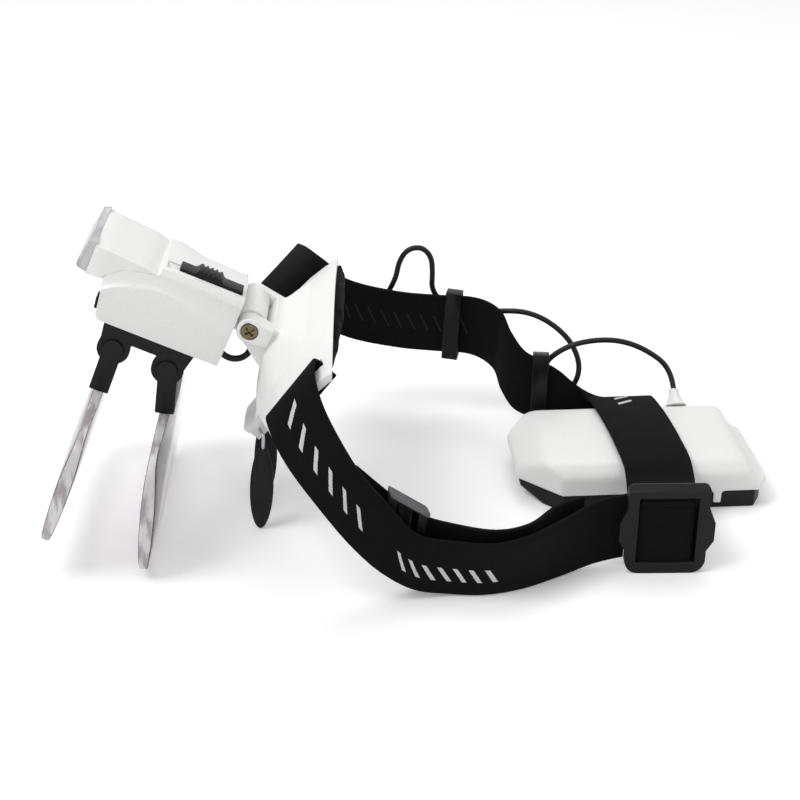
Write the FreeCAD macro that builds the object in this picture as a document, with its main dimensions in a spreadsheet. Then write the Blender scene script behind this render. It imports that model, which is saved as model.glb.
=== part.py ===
"""Head visor magnifier: a lighted visor with two flip lenses on an elastic headband.

The part lies on a table as it is put down: the lamp points to -X and slightly up, the headband runs
back to +X, and the battery box stands on its base. Y is the wearer's left-right axis.
All sizes are millimetres. Angles are degrees. Sizes that drive the model are in SIZES.
"""
import FreeCAD
import Part
import Sketcher
import math
import os

Vector = FreeCAD.Vector

SIZES = {
    # where the whole part stands in its frame
    "frame_back": 6.55, "frame_side": 12.55,
    # visor housing, measured from the hinge axis, forward and up
    "hinge_back": 51.1, "hinge_height": 81.2, "visor_pitch": 24.3,
    "hood_front": 57.5, "seam_front": 34.5, "housing_rear": 5.4, "visor_width": 34.0,
    "visor_top": 9.2, "visor_wall": 1.6, "seam_gap": 0.3,
    "skirt_front": 51.5, "skirt_rake": 2.0, "skirt_drop": 16.0, "skirt_width": 36.0,
    "hood_lip": 2.0, "hood_step": 5.5,
    "cap_length": 3.4, "cap_wall": 1.2,
    # lamp insides
    "board_thickness": 1.6, "board_width": 27.0, "board_height": 5.6, "board_forward": 43.0,
    "lamp_radius": 2.4, "lamp_length": 8.0, "lamp_pitch": 13.0, "reflector_thickness": 1.2,
    # switch
    "knob_length": 22.2, "knob_width": 6.6, "knob_height": 2.2, "knob_side": 10.6,
    "knob_travel": 4.0, "slot_clearance": 0.3, "rib_height": 1.7, "rib_width": 1.5, "rib_pitch": 2.9,
    "switch_depth": 4.0,
    # hinge
    "screw_radius": 1.6, "running_gap": 0.05, "knuckle_radius": 5.2, "knuckle_width": 21.0,
    "lug_thickness": 4.4, "lug_radius": 4.6, "side_gap": 0.4,
    "screw_head_radius": 2.7, "screw_head_height": 1.6, "nut_height": 2.4, "nut_radius": 3.0,
    # lens holder, arms and lenses
    "holder_front": 46.0, "holder_rear": 13.5, "holder_middle": 30.0, "holder_width": 33.0,
    "holder_plate": 3.0,
    "cheek_thickness": 3.0, "pivot_drop": 25.0, "front_pivot": 39.8, "rear_pivot": 20.3,
    "boss_radius": 4.2, "cheek_radius": 5.6, "notch_drop": 5.4, "pin_radius": 1.5, "pin_head_radius": 3.5,
    "pin_head_height": 0.7, "arm_thickness": 6.8, "arm_reach": 18.8, "arm_gap": 0.4,
    "front_lean": 22.3, "rear_lean": 8.3,
    "lens_width": 95.0, "lens_height": 43.0, "lens_middle": 6.0, "lens_corner": 9.0,
    "lens_curve": 900.0, "tab_height": 7.0, "tab_width": 20.0, "tab_thickness": 2.6, "tab_gap": 0.1,
    "plate_thickness": 1.4, "plate_width": 22.0, "plate_top": 4.6, "plate_knee": 12.0,
    "plate_foot": 0.2, "holder_screw_radius": 1.2, "holder_screw_length": 5.0,
    # forehead shell, in the frame of the worn band
    "shell_back": 35.0, "shell_height": 70.0, "shell_tilt": 42.2,
    "shell_bow": 160.0, "shell_wall": 2.4, "shell_half": 52.5, "pad_thickness": 4.5, "pad_gap": 0.3,
    "rim_back": 22.5, "pad_overhang": 3.2, "pad_half": 39.6,
    "slot_length": 26.0, "slot_width": 3.2, "slot_place": 44.6, "slot_lean": 2.6,
    "slot_height": 2.0,
    "nose_pad_set_back": 0.1, "nose_wire_drop": 21.5, "nose_pad_lean": 4.0,
    "bridge_width": 15.0, "bridge_depth": 5.0, "bridge_height": 6.5,
    "wire_radius": 0.6, "nose_pad_height": 34.0, "nose_pad_depth": 8.5, "nose_pad_thickness": 4.0,
    "nose_pad_spread": 11.6, "nose_bore_low": 8.0,
    # strap, buckle and adjuster
    "strap_width": 25.0, "strap_thickness": 1.4, "buckle_length": 28.0, "buckle_height": 34.5,
    "buckle_thickness": 3.0, "window_length": 20.5, "window_height": 25.6,
    "buckle_back": 91.0, "buckle_side": 41.6, "buckle_corner": 3.0, "buckle_bulge": 2.4,
    "adjuster_length": 14.0, "adjuster_height": 29.0, "adjuster_thickness": 2.4,
    "adjuster_bar": 3.0, "adjuster_gap": 0.9,
    "clip_length": 6.5, "clip_wall": 0.85, "clip_gap": 1.55, "clip_side_gap": 0.9,
    # battery box
    "box_length": 92.6, "box_width": 53.0, "box_back": 89.5, "box_side": 24.0, "box_turn": 3.0,
    "hollow_front": 14.0, "hollow_rear": 13.0, "gland_along": 21.5, "gland_straight": 9.0,
    "base_height": 8.0, "base_inset": 1.6, "lid_height": 12.0, "box_wall": 1.8, "lid_chamfer": 5.0,
    "flange_height": 3.0,
    "tongue_width": 3.5, "tongue_thickness": 1.2, "tongue_drop": 5.0, "tongue_along": 25.0,
    "cell_radius": 5.2, "cell_length": 44.0, "cell_pitch": 11.4, "cell_nub": 0.9,
    "spring_radius": 3.4, "spring_length": 4.6, "contact_thickness": 0.6,
    "gland_radius": 3.6, "gland_length": 7.0, "cable_radius": 1.1,
}

doc = FreeCAD.newDocument("head_visor_magnifier")
sheet = doc.addObject("Spreadsheet::Sheet", "sizes")
for row, (alias, number) in enumerate(SIZES.items(), start=1):
    sheet.set("A%d" % row, alias)
    sheet.set("B%d" % row, str(number))
    sheet.setAlias("B%d" % row, alias)
doc.recompute()


class Size:
    """A length that knows both its number and the expression that gives it."""

    def __init__(self, number, text):
        self.number = number
        self.text = text

    def __add__(self, other):
        other = as_size(other)
        return Size(self.number + other.number, "(%s + %s)" % (self.text, other.text))

    def __sub__(self, other):
        other = as_size(other)
        return Size(self.number - other.number, "(%s - %s)" % (self.text, other.text))

    def __mul__(self, other):
        other = as_size(other)
        return Size(self.number * other.number, "(%s * %s)" % (self.text, other.text))

    def __neg__(self):
        return Size(-self.number, "(-1 * %s)" % self.text)

    __radd__ = __add__
    __rmul__ = __mul__

    def __rsub__(self, other):
        return as_size(other) - self


def as_size(value):
    return value if isinstance(value, Size) else Size(float(value), repr(float(value)))


def size(alias):
    return Size(float(sheet.get(alias)), "sizes.%s" % alias)


def mm(alias):
    return float(sheet.get(alias))


def bind(item, name, value):
    item.setExpression(name, as_size(value).text)


# ---------------------------------------------------------------- bodies from sketches

PLANES = {"side": "XZ_Plane", "front": "YZ_Plane", "plan": "XY_Plane"}


def new_body(label):
    body = doc.addObject("PartDesign::Body", label)
    body.Label = label
    return body


def new_sketch(body, plane, name):
    sketch = body.newObject("Sketcher::SketchObject", name)
    support = [item for item in body.Origin.OriginFeatures if item.Role == PLANES[plane]][0]
    sketch.AttachmentSupport = [(support, "")]
    sketch.MapMode = "FlatFace"
    return sketch


def hold_point(sketch, edge, end, across, along):
    """Pin one end of an edge to its two coordinates."""
    for kind, value, axis in (("DistanceX", across, -2), ("DistanceY", along, -1)):
        value = as_size(value)
        if abs(value.number) < 1e-9:
            sketch.addConstraint(Sketcher.Constraint("PointOnObject", edge, end, axis))
            continue
        index = sketch.addConstraint(
            Sketcher.Constraint(kind, -1, 1, edge, end, value.number))
        sketch.setExpression("Constraints[%d]" % index, value.text)


def draw_polygon(sketch, points):
    first = sketch.GeometryCount
    corners = [Vector(as_size(a).number, as_size(b).number, 0) for a, b in points]
    count = len(corners)
    for index in range(count):
        sketch.addGeometry(Part.LineSegment(corners[index], corners[(index + 1) % count]), False)
    for index in range(count):
        after = first + (index + 1) % count
        sketch.addConstraint(Sketcher.Constraint("Coincident", first + index, 2, after, 1))
    for index, (across, along) in enumerate(points):
        hold_point(sketch, first + index, 1, across, along)


def draw_circle(sketch, across, along, radius):
    centre = Vector(as_size(across).number, as_size(along).number, 0)
    radius = as_size(radius)
    index = sketch.addGeometry(Part.Circle(centre, Vector(0, 0, 1), radius.number), False)
    hold_point(sketch, index, 3, across, along)
    round_rule = sketch.addConstraint(Sketcher.Constraint("Radius", index, radius.number))
    sketch.setExpression("Constraints[%d]" % round_rule, radius.text)


def feature(body, kind, plane, length, draw):
    """A symmetric pad or pocket of the drawn outline; draw(sketch) draws it."""
    number = len(body.Group)
    sketch = new_sketch(body, plane, "%s_outline_%d" % (body.Name, number))
    draw(sketch)
    made = body.newObject("PartDesign::" + kind, "%s_%s_%d" % (body.Name, kind.lower(), number))
    made.Profile = (sketch, [""])
    made.SideType = "Symmetric"
    bind(made, "Length", length)
    body.Tip = made
    doc.recompute()
    return made


def pad(body, plane, length, points):
    return feature(body, "Pad", plane, length, lambda sketch: draw_polygon(sketch, points))


def pad_round(body, plane, length, across, along, radius):
    return feature(body, "Pad", plane, length,
                   lambda sketch: draw_circle(sketch, across, along, radius))


def must_shrink(body, before):
    if body.Shape.Volume > before - 1e-6:
        raise RuntimeError("a pocket of %s cuts nothing" % body.Label)


def pocket(body, plane, length, points):
    before = body.Shape.Volume
    feature(body, "Pocket", plane, length, lambda sketch: draw_polygon(sketch, points))
    must_shrink(body, before)


def pocket_round(body, plane, length, across, along, radius):
    before = body.Shape.Volume
    feature(body, "Pocket", plane, length,
            lambda sketch: draw_circle(sketch, across, along, radius))
    must_shrink(body, before)


def rectangle(left, right, low, high):
    return [(left, low), (right, low), (right, high), (left, high)]


# ---------------------------------------------------------------- pieces from primitives

def box(name, sides, corner):
    """A box of three sides with its low corner at the given point."""
    made = doc.addObject("Part::Box", name)
    for prop, value in zip(("Length", "Width", "Height"), sides):
        bind(made, prop, value)
    for prop, value in zip(("x", "y", "z"), corner):
        bind(made, "Placement.Base.%s" % prop, value)
    return made


AXES = {
    "x": FreeCAD.Rotation(Vector(0, 1, 0), 90),
    "-x": FreeCAD.Rotation(Vector(0, 1, 0), -90),
    "y": FreeCAD.Rotation(Vector(1, 0, 0), -90),
    "z": FreeCAD.Rotation(),
    "-z": FreeCAD.Rotation(Vector(1, 0, 0), 180),
}


def rod(name, radius, length, start, axis="z"):
    made = doc.addObject("Part::Cylinder", name)
    bind(made, "Radius", radius)
    bind(made, "Height", length)
    made.Placement = FreeCAD.Placement(Vector(), AXES[axis])
    for prop, value in zip(("x", "y", "z"), start):
        bind(made, "Placement.Base.%s" % prop, value)
    return made


def fuse(label, pieces):
    made = doc.addObject("Part::MultiFuse", label)
    made.Shapes = pieces
    made.Label = label
    return made


def cut(label, base, tool):
    made = doc.addObject("Part::Cut", label)
    made.Base = base
    made.Tool = tool
    made.Label = label
    return made


def group(label, pieces):
    made = doc.addObject("Part::Compound", label)
    made.Links = pieces
    made.Label = label
    return made


# ---------------------------------------------------------------- frames of the sub-assemblies

def about_y(x, z, angle, y=0.0):
    """A frame at a point of the photographed scene, leaned about Y."""
    base = Vector(x - mm("frame_back"), y - mm("frame_side"), z)
    return FreeCAD.Placement(base, FreeCAD.Rotation(Vector(0, 1, 0), angle))


def in_visor(forward, drop):
    """The point that lies forward of the hinge along the housing and below it."""
    angle = math.radians(mm("visor_pitch"))
    x = -mm("hinge_back") - forward * math.cos(angle) - drop * math.sin(angle)
    z = mm("hinge_height") + forward * math.sin(angle) - drop * math.cos(angle)
    return x, z


VISOR = about_y(-mm("hinge_back"), mm("hinge_height"), mm("visor_pitch"))
SHELL = about_y(-mm("shell_back"), mm("shell_height"), mm("shell_tilt"))
FLAT = about_y(0, 0, 0)
BOX = FreeCAD.Placement(
    Vector(mm("box_back") - mm("frame_back"), mm("box_side") - mm("frame_side"), 0),
    FreeCAD.Rotation(Vector(0, 0, 1), mm("box_turn")))

parts = []


def finish(item, place):
    item.Placement = place
    parts.append(item)
    return item


def finish_in(label, item, place):
    """Seat a piece that already has a place of its own inside a sub-assembly."""
    return finish(group(label, [item]), place)


# ---------------------------------------------------------------- visor housing

hood_front, seam_front = size("hood_front"), size("seam_front")
visor_top, visor_wall, visor_width = size("visor_top"), size("visor_wall"), size("visor_width")
skirt_front, skirt_drop = size("skirt_front"), size("skirt_drop")
housing_rear, seam_gap = size("housing_rear"), size("seam_gap")
knuckle_radius, lug_radius = size("knuckle_radius"), size("lug_radius")
inner_width = visor_width - visor_wall * 2
bore_radius = size("screw_radius") + size("running_gap")
knob_front = housing_rear + size("visor_wall") + size("knob_length")
slot_front = knob_front + size("knob_travel") + size("slot_clearance")
slot_rear = housing_rear + visor_wall - size("slot_clearance")


def make_lower_housing():
    body = new_body("lower_housing")
    bottom_front = skirt_front - size("skirt_rake")
    pad(body, "side", size("skirt_width"),
        [(-skirt_front, 0), (-bottom_front, -skirt_drop), (-housing_rear, -skirt_drop),
         (-housing_rear, 0)])
    pocket(body, "side", size("skirt_width") - visor_wall * 2,
           [(-skirt_front + visor_wall, 1), (visor_wall - bottom_front, visor_wall - skirt_drop),
            (-housing_rear - visor_wall, visor_wall - skirt_drop),
            (-housing_rear - visor_wall, 1)])
    pad(body, "side", size("knuckle_width"),
        rectangle(-housing_rear - 0.5, -1, -knuckle_radius + 1.2, 0))
    pad_round(body, "side", size("knuckle_width"), 0, 0, knuckle_radius)
    pocket_round(body, "side", size("knuckle_width") + 2, 0, 0, bore_radius)
    pocket_round(body, "plan", skirt_drop * 2 + 2, -size("holder_middle"), 0,
                 size("holder_screw_radius"))
    return finish(body, VISOR)


def make_upper_housing():
    body = new_body("upper_housing_walls")
    pad(body, "side", visor_width, rectangle(-seam_front + seam_gap, -housing_rear, 0, visor_top))
    pocket(body, "side", inner_width,
           rectangle(-seam_front + seam_gap + visor_wall, -housing_rear - visor_wall,
                     -1, visor_top - visor_wall))
    slot = box("switch_slot",
               (slot_front - slot_rear, size("knob_width") + size("slot_clearance") * 2, 6),
               (-slot_front, -size("knob_side") - size("knob_width") * 0.5
                - size("slot_clearance"), visor_top - 4))
    return finish(cut("upper_housing", body, slot), VISOR)


def make_lamp_hood():
    body = new_body("lamp_hood")
    step = hood_front - size("hood_step")
    pad(body, "side", visor_width,
        [(-hood_front, -size("hood_lip")), (-step, -size("hood_lip")), (-step, 0),
         (-seam_front, 0), (-seam_front, visor_top), (-hood_front, visor_top)])
    pocket(body, "side", inner_width,
           [(-hood_front - 1, -size("hood_lip") + visor_wall), (-step, -size("hood_lip")
             + visor_wall), (-step, visor_wall), (-seam_front - visor_wall, visor_wall),
            (-seam_front - visor_wall, visor_top - visor_wall),
            (-hood_front - 1, visor_top - visor_wall)])
    return finish(body, VISOR)


def make_lamp_lens():
    body = new_body("lamp_lens")
    front = hood_front + size("cap_length")
    wall = size("cap_wall")
    low = -size("hood_lip")
    pad(body, "side", visor_width,
        [(-hood_front, low), (-hood_front, visor_top), (-front, visor_top - 0.8),
         (-front, low + 0.8)])
    pocket(body, "side", visor_width - wall * 2,
           rectangle(-front + wall, -hood_front + 1, low + wall + 0.4, visor_top - wall - 0.4))
    return finish(body, VISOR)


def lamp_sides():
    return [size("lamp_pitch") * -0.5, size("lamp_pitch") * 0.5]


lamp_height = visor_top * 0.5
board_face = size("board_forward") + size("board_thickness")


def make_lamp_insides():
    board = box("led_board_plate", (size("board_thickness"), size("board_width"), size("board_height")),
                (-board_face, size("board_width") * -0.5, lamp_height - size("board_height") * 0.5))
    lamps = [rod("led_%d" % index, size("lamp_radius"), size("lamp_length"),
                 (-board_face, side, lamp_height), "-x") for index, side in enumerate(lamp_sides())]
    plate = box("reflector_plate", (size("reflector_thickness"), size("board_width"),
                                    size("board_height")),
                (-board_face - size("lamp_length") + 1.5, size("board_width") * -0.5,
                 lamp_height - size("board_height") * 0.5))
    holes = [rod("reflector_hole_%d" % index, size("lamp_radius") + 0.1, size("lamp_length") * 2,
                 (-board_face, side, lamp_height), "-x") for index, side in enumerate(lamp_sides())]
    reflector = cut("reflector", plate, fuse("reflector_holes", holes))
    finish_in("led_board", board, VISOR)
    finish(group("leds", lamps), VISOR)
    finish(reflector, VISOR)




def make_switch():
    side = -size("knob_side")
    width = size("knob_width")
    low = visor_top - 1.0
    slab = box("knob_slab", (size("knob_length"), width, size("knob_height")),
               (-knob_front, side - width * 0.5, low))
    middle = -knob_front + size("knob_length") * 0.5
    pieces = [slab]
    for index in range(4):
        pieces.append(box("knob_rib_%d" % index,
                          (size("rib_width"), width, size("rib_height") + 0.5),
                          (middle + size("rib_pitch") * (index - 2), side - width * 0.5,
                           low + size("knob_height") - 0.5)))
    finish(fuse("switch_knob", pieces), VISOR)
    body = box("switch_body_block", (size("knob_length"), width + 2, size("switch_depth")),
               (-knob_front, side - width * 0.5 - 1, low - size("switch_depth") - 0.8))
    finish_in("switch_body", body, VISOR)


# ---------------------------------------------------------------- lens holder, arms and lenses

PIVOTS = {"front": "front_pivot", "rear": "rear_pivot"}


def make_lens_holder():
    body = new_body("lens_holder")
    boss = size("boss_radius")
    front, rear = size("front_pivot"), size("rear_pivot")
    low = size("pivot_drop") + boss * 0.8
    notch = skirt_drop + size("notch_drop")
    pad(body, "side", size("holder_width"),
        [(-size("holder_front"), -skirt_drop), (-size("holder_rear"), -skirt_drop),
         (-rear + boss + 0.8, -size("pivot_drop") + 0.5), (-rear + boss * 0.6, -low),
         (-rear - boss * 0.6, -low), (-rear - boss, -size("pivot_drop")),
         (-rear - boss - 1.2, -notch), (-front + boss + 1.2, -notch),
         (-front + boss, -size("pivot_drop")), (-front + boss * 0.6, -low),
         (-front - boss * 0.6, -low), (-front - boss - 0.8, -size("pivot_drop"))])
    for pivot in PIVOTS.values():
        pad_round(body, "side", size("holder_width"), -size(pivot), -size("pivot_drop"),
                  size("cheek_radius"))
    pocket(body, "side", size("holder_width") - size("cheek_thickness") * 2,
           rectangle(-size("holder_front") - 3, -size("holder_rear") + 3,
                     -size("pivot_drop") - size("cheek_radius") - 1,
                     -skirt_drop - size("holder_plate")))
    for pivot in PIVOTS.values():
        pocket_round(body, "side", size("holder_width") + 2, -size(pivot), -size("pivot_drop"),
                     size("pin_radius"))
    pocket_round(body, "plan", size("pivot_drop") * 3, -size("holder_middle"), 0,
                 size("holder_screw_radius"))
    finish(body, VISOR)


def make_pins():
    half = size("holder_width") * 0.5
    for name, pivot in PIVOTS.items():
        axis_x, axis_z = -size(pivot), -size("pivot_drop")
        shank = rod(name + "_pin_shank", size("pin_radius"), size("holder_width"),
                    (axis_x, -half, axis_z), "y")
        near = rod(name + "_pin_near", size("pin_head_radius"), size("pin_head_height"),
                   (axis_x, -half - size("pin_head_height"), axis_z), "y")
        far = rod(name + "_pin_far", size("pin_head_radius"), size("pin_head_height"),
                  (axis_x, half, axis_z), "y")
        finish(fuse(name + "_pin", [shank, near, far]), VISOR)


def make_holder_screw():
    low = -skirt_drop - size("holder_plate")
    shank = rod("holder_screw_shank", size("holder_screw_radius"), size("holder_screw_length"),
                (-size("holder_middle"), 0, low), "z")
    head = rod("holder_screw_head", size("holder_screw_radius") * 1.9, 1.2,
               (-size("holder_middle"), 0, low - 1.2), "z")
    finish(fuse("holder_screw", [shank, head]), VISOR)


def make_front_plate():
    body = new_body("front_plate")
    rake = size("skirt_rake") * (1.0 / mm("skirt_drop"))
    thickness = size("plate_thickness")

    def face(drop):
        return -skirt_front + rake * drop

    top, middle = size("plate_top"), size("plate_knee")
    low = skirt_drop - size("plate_foot")
    pad(body, "side", size("plate_width"),
        [(face(top), -top), (face(middle) - thickness, -middle), (face(low) - thickness, -low),
         (face(low), -low)])
    finish(body, VISOR)


def make_arm(name, lean):
    body = new_body(name + "_arm")
    half = size("arm_thickness") * 0.5
    width = size("holder_width") - size("cheek_thickness") * 2 - size("arm_gap") * 2
    pad(body, "side", width, rectangle(-half, half, -size("arm_reach"), 0))
    pad_round(body, "side", width, 0, 0, half)
    pocket_round(body, "side", width + 2, 0, 0, size("pin_radius") + size("running_gap"))
    slot = size("tab_thickness") * 0.5 + size("tab_gap")
    pocket(body, "side", size("tab_width") + size("tab_gap") * 2,
           rectangle(-slot, slot, -size("arm_reach") - 1,
                     -size("arm_reach") + size("tab_height") + size("tab_gap")))
    x, z = in_visor(mm(name + "_pivot"), mm("pivot_drop"))
    finish(body, about_y(x, z, lean))


def make_lens(name, lean):
    """A rounded block of clear plastic between two shallow spheres, with a tab for its arm."""
    width, height = size("lens_width"), size("lens_height")
    middle, radius = size("lens_middle"), size("lens_curve")
    top = -size("arm_reach") - 0.3
    block = box(name + "_lens_block", (middle + 4, width, height),
                (middle * -0.5 - 2, width * -0.5, top - height))
    doc.recompute()
    corners = [index for index, edge in enumerate(block.Shape.Edges, start=1)
               if abs(edge.tangentAt(edge.FirstParameter).x) > 0.9]
    rounded = doc.addObject("Part::Fillet", name + "_lens_rounded")
    rounded.Base = block
    rounded.Edges = [(index, mm("lens_corner"), mm("lens_corner")) for index in corners]
    balls = []
    for sign in (-1, 1):
        ball = doc.addObject("Part::Sphere", "%s_ball_%d" % (name, sign + 1))
        bind(ball, "Radius", radius)
        bind(ball, "Placement.Base.x", (middle * 0.5 - radius) * sign)
        bind(ball, "Placement.Base.z", top - height * 0.5)
        balls.append(ball)
    shaped = doc.addObject("Part::MultiCommon", name + "_lens_shaped")
    shaped.Shapes = [rounded] + balls
    tab = box(name + "_lens_tab", (size("tab_thickness"), size("tab_width"),
                                   size("tab_height") + 3),
              (size("tab_thickness") * -0.5, size("tab_width") * -0.5, top - 2.7))
    x, z = in_visor(mm(name + "_pivot"), mm("pivot_drop"))
    finish(fuse(name + "_lens", [shaped, tab]), about_y(x, z, lean))


# ---------------------------------------------------------------- forehead shell and hinge

def in_shell(x, z):
    """A point of the side view, in the frame of the forehead shell."""
    angle = math.radians(mm("shell_tilt"))
    dx, dz = x + mm("shell_back"), z - mm("shell_height")
    return (dx * math.cos(angle) - dz * math.sin(angle),
            dx * math.sin(angle) + dz * math.cos(angle))


HINGE_X, HINGE_Z = in_shell(-mm("hinge_back"), mm("hinge_height"))
# the shell's section at the middle of the forehead: how far back, how high
SHELL_SECTION = [(-1.0, 27.0), (-4.6, 20.5), (-6.8, 14.0), (-7.9, 6.0), (-8.2, -2.0), (-7.8, -8.0),
                 (-6.0, -14.0), (-2.0, -21.0), (2.6, -26.5), (5.0, -30.5), (5.0, -36.5)]
PAD_FOOT = -16.0


def swept_section(name, offset, thickness, section, half_width):
    """A section swept round the upright axis behind the forehead."""
    sketch = doc.addObject("Sketcher::SketchObject", name + "_section")
    sketch.Placement = FreeCAD.Placement(Vector(), FreeCAD.Rotation(Vector(1, 0, 0), 90))
    outer = [(as_size(x) + offset, as_size(z)) for x, z in section]
    inner = [(as_size(x) + offset + thickness, as_size(z)) for x, z in reversed(section)]
    draw_polygon(sketch, outer + inner)
    turned = doc.addObject("Part::Revolution", name + "_swept")
    turned.Source = sketch
    turned.Axis = Vector(0, 0, 1)
    turned.Base = Vector(mm("shell_bow"), 0, 0)
    turned.Angle = 2 * math.degrees(math.asin(half_width / mm("shell_bow")))
    turned.Symmetric = True
    turned.Solid = True
    return turned


def outline_prism(name, points, depth=120):
    """A prism along the wearer's line of sight, from an outline of side and height."""
    sketch = doc.addObject("Sketcher::SketchObject", name + "_outline")
    sketch.Placement = FreeCAD.Placement(
        Vector(), FreeCAD.Rotation(Vector(1, 1, 1), 120))
    draw_polygon(sketch, points)
    made = doc.addObject("Part::Extrusion", name)
    made.Base = sketch
    made.DirMode = "Custom"
    made.Dir = Vector(1, 0, 0)
    made.LengthFwd = depth
    made.Symmetric = True
    made.Solid = True
    return made


def strap_slot(sign):
    middle, half_length, half_width = size("slot_place"), size("slot_length") * 0.5, \
        size("slot_width") * 0.5
    lean, centre_height = size("slot_lean"), size("slot_height")
    return outline_prism("strap_slot_%s" % ("far" if sign > 0 else "near"), [
        ((middle - half_width + lean) * sign, centre_height - half_length),
        ((middle + half_width + lean) * sign, centre_height - half_length),
        ((middle + half_width - lean) * sign, centre_height + half_length),
        ((middle - half_width - lean) * sign, centre_height + half_length)])


def behind_rim(name, overhang):
    """What lies behind the flat, upright plane that the shell's rear rim stands in."""
    line = overhang - mm("rim_back")
    beyond = new_body(name)
    pad(beyond, "side", size("shell_half") * 3,
        [in_shell(line, 120.0), in_shell(line, 20.0), in_shell(line + 90, 20.0),
         in_shell(line + 90, 120.0)])
    return beyond


def make_forehead_shell():
    swept = swept_section("shell", 0, size("shell_wall"), SHELL_SECTION, mm("shell_half"))
    outline = outline_prism("shell_outline", [
        (-49.2, 18.5), (-51.2, -13.0), (-46.0, -14.0), (-30.0, -19.0), (-11.0, -30.0),
        (-8.5, -36.5), (8.5, -36.5), (11.0, -30.0), (30.0, -19.0), (46.0, -14.0), (51.2, -13.0),
        (49.2, 18.5), (42.0, 26.5), (-42.0, 26.5)])
    bowed = doc.addObject("Part::Common", "shell_bowed")
    bowed.Base = swept
    bowed.Tool = outline
    trimmed = cut("shell_trimmed", bowed, behind_rim("shell_beyond", 0))
    lugs = new_body("hinge_lugs")
    hinge_x, hinge_z = as_size(HINGE_X), as_size(HINGE_Z)
    outer_width = size("knuckle_width") + (size("side_gap") + size("lug_thickness")) * 2
    pad(lugs, "side", outer_width,
        [(hinge_x, hinge_z + lug_radius), (hinge_x, hinge_z - lug_radius), (-6.0, -12.0),
         (-7.0, 4.0)])
    pad_round(lugs, "side", outer_width, hinge_x, hinge_z, lug_radius)
    pocket(lugs, "side", size("knuckle_width") + size("side_gap") * 2,
           rectangle(hinge_x - 6, -9.6, -20, 12))
    pocket_round(lugs, "side", outer_width + 2, hinge_x, hinge_z, size("screw_radius"))
    whole = fuse("shell_whole", [trimmed, lugs])
    slots = fuse("strap_slots", [strap_slot(-1), strap_slot(1)])
    finish(cut("forehead_shell", whole, slots), SHELL)


def make_forehead_pad():
    section = [point for point in SHELL_SECTION if point[1] > PAD_FOOT]
    swept = swept_section("pad", size("shell_wall") + size("pad_gap"), size("pad_thickness"),
                          section, mm("pad_half"))
    overhang = mm("pad_overhang")
    finish_in("forehead_pad", cut("pad_trimmed", swept, behind_rim("pad_beyond", overhang)), SHELL)


def make_hinge_screw():
    inner = size("knuckle_width") * 0.5 + size("side_gap")
    outer = inner + size("lug_thickness")
    hinge_x, hinge_z = as_size(HINGE_X), as_size(HINGE_Z)
    shank = rod("hinge_shank", size("screw_radius"), outer * 2 + size("nut_height"),
                (hinge_x, -outer, hinge_z), "y")
    head = rod("hinge_head", size("screw_head_radius"), size("screw_head_height"),
               (hinge_x, -outer - size("screw_head_height"), hinge_z), "y")
    finish(fuse("hinge_screw", [shank, head]), SHELL)
    prism = doc.addObject("Part::Prism", "nut_prism")
    prism.Polygon = 6
    bind(prism, "Circumradius", size("nut_radius"))
    bind(prism, "Height", size("nut_height"))
    prism.Placement = FreeCAD.Placement(Vector(HINGE_X, 0, HINGE_Z), AXES["y"])
    bind(prism, "Placement.Base.y", outer)
    hole = rod("nut_hole", size("screw_radius"), size("nut_height") + 2,
               (hinge_x, outer - 1, hinge_z), "y")
    finish(cut("hinge_nut", prism, hole), SHELL)


# ---------------------------------------------------------------- nose bridge and nose pads

def make_nose_parts():
    width, depth, height = size("bridge_width"), size("bridge_depth"), size("bridge_height")
    back, low = SHELL_SECTION[-1]
    block = box("nose_bridge_block", (depth, width, height),
                (size("shell_wall") + back, width * -0.5, low))
    seated = cut("nose_bridge_seated", block, doc.getObject("shell_whole"))
    finish_in("nose_bridge", seated, SHELL)
    bridge = SHELL.multVec(Vector(back + mm("shell_wall") + mm("bridge_depth") / 2,
                                  mm("bridge_width") / 2, low + mm("bridge_height") / 2))
    lean = math.radians(mm("nose_pad_lean"))
    upright = Vector(math.sin(lean), 0, math.cos(lean))
    middle = Vector(bridge.x + mm("nose_pad_set_back"), 0, bridge.z - mm("nose_wire_drop"))
    bend = (bridge.z - middle.z) / upright.z
    for name, sign in (("near", -1), ("far", 1)):
        side = mm("nose_pad_spread") * sign
        pad_body = doc.addObject("Part::Ellipsoid", "nose_pad_%s_shape" % name)
        bind(pad_body, "Radius1", size("nose_pad_height") * 0.5)
        bind(pad_body, "Radius2", size("nose_pad_depth") * 0.5)
        bind(pad_body, "Radius3", size("nose_pad_thickness") * 0.5)
        place = about_y(middle.x + mm("frame_back"), middle.z, mm("nose_pad_lean"), side)
        bore = rod("nose_bore_" + name, size("wire_radius") + size("running_gap"),
                   size("nose_pad_height"), (0, 0, size("nose_bore_low")), "z")
        finish(cut("nose_pad_" + name, pad_body, bore), place)
        across = Vector(0, side - mm("frame_side"), 0)
        start = Vector(bridge.x, (mm("bridge_width") / 2) * sign - mm("frame_side"), bridge.z)
        wire = wire_between([start, middle + across + upright * bend,
                             middle + across + upright * (mm("nose_bore_low") + 0.6)],
                            mm("wire_radius"))
        item = doc.addObject("Part::Feature", "nose_wire_" + name)
        item.Label = "nose_wire_" + name
        item.Shape = wire
        finish(item, FreeCAD.Placement())


# ---------------------------------------------------------------- tubes and bands on free routes

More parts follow.
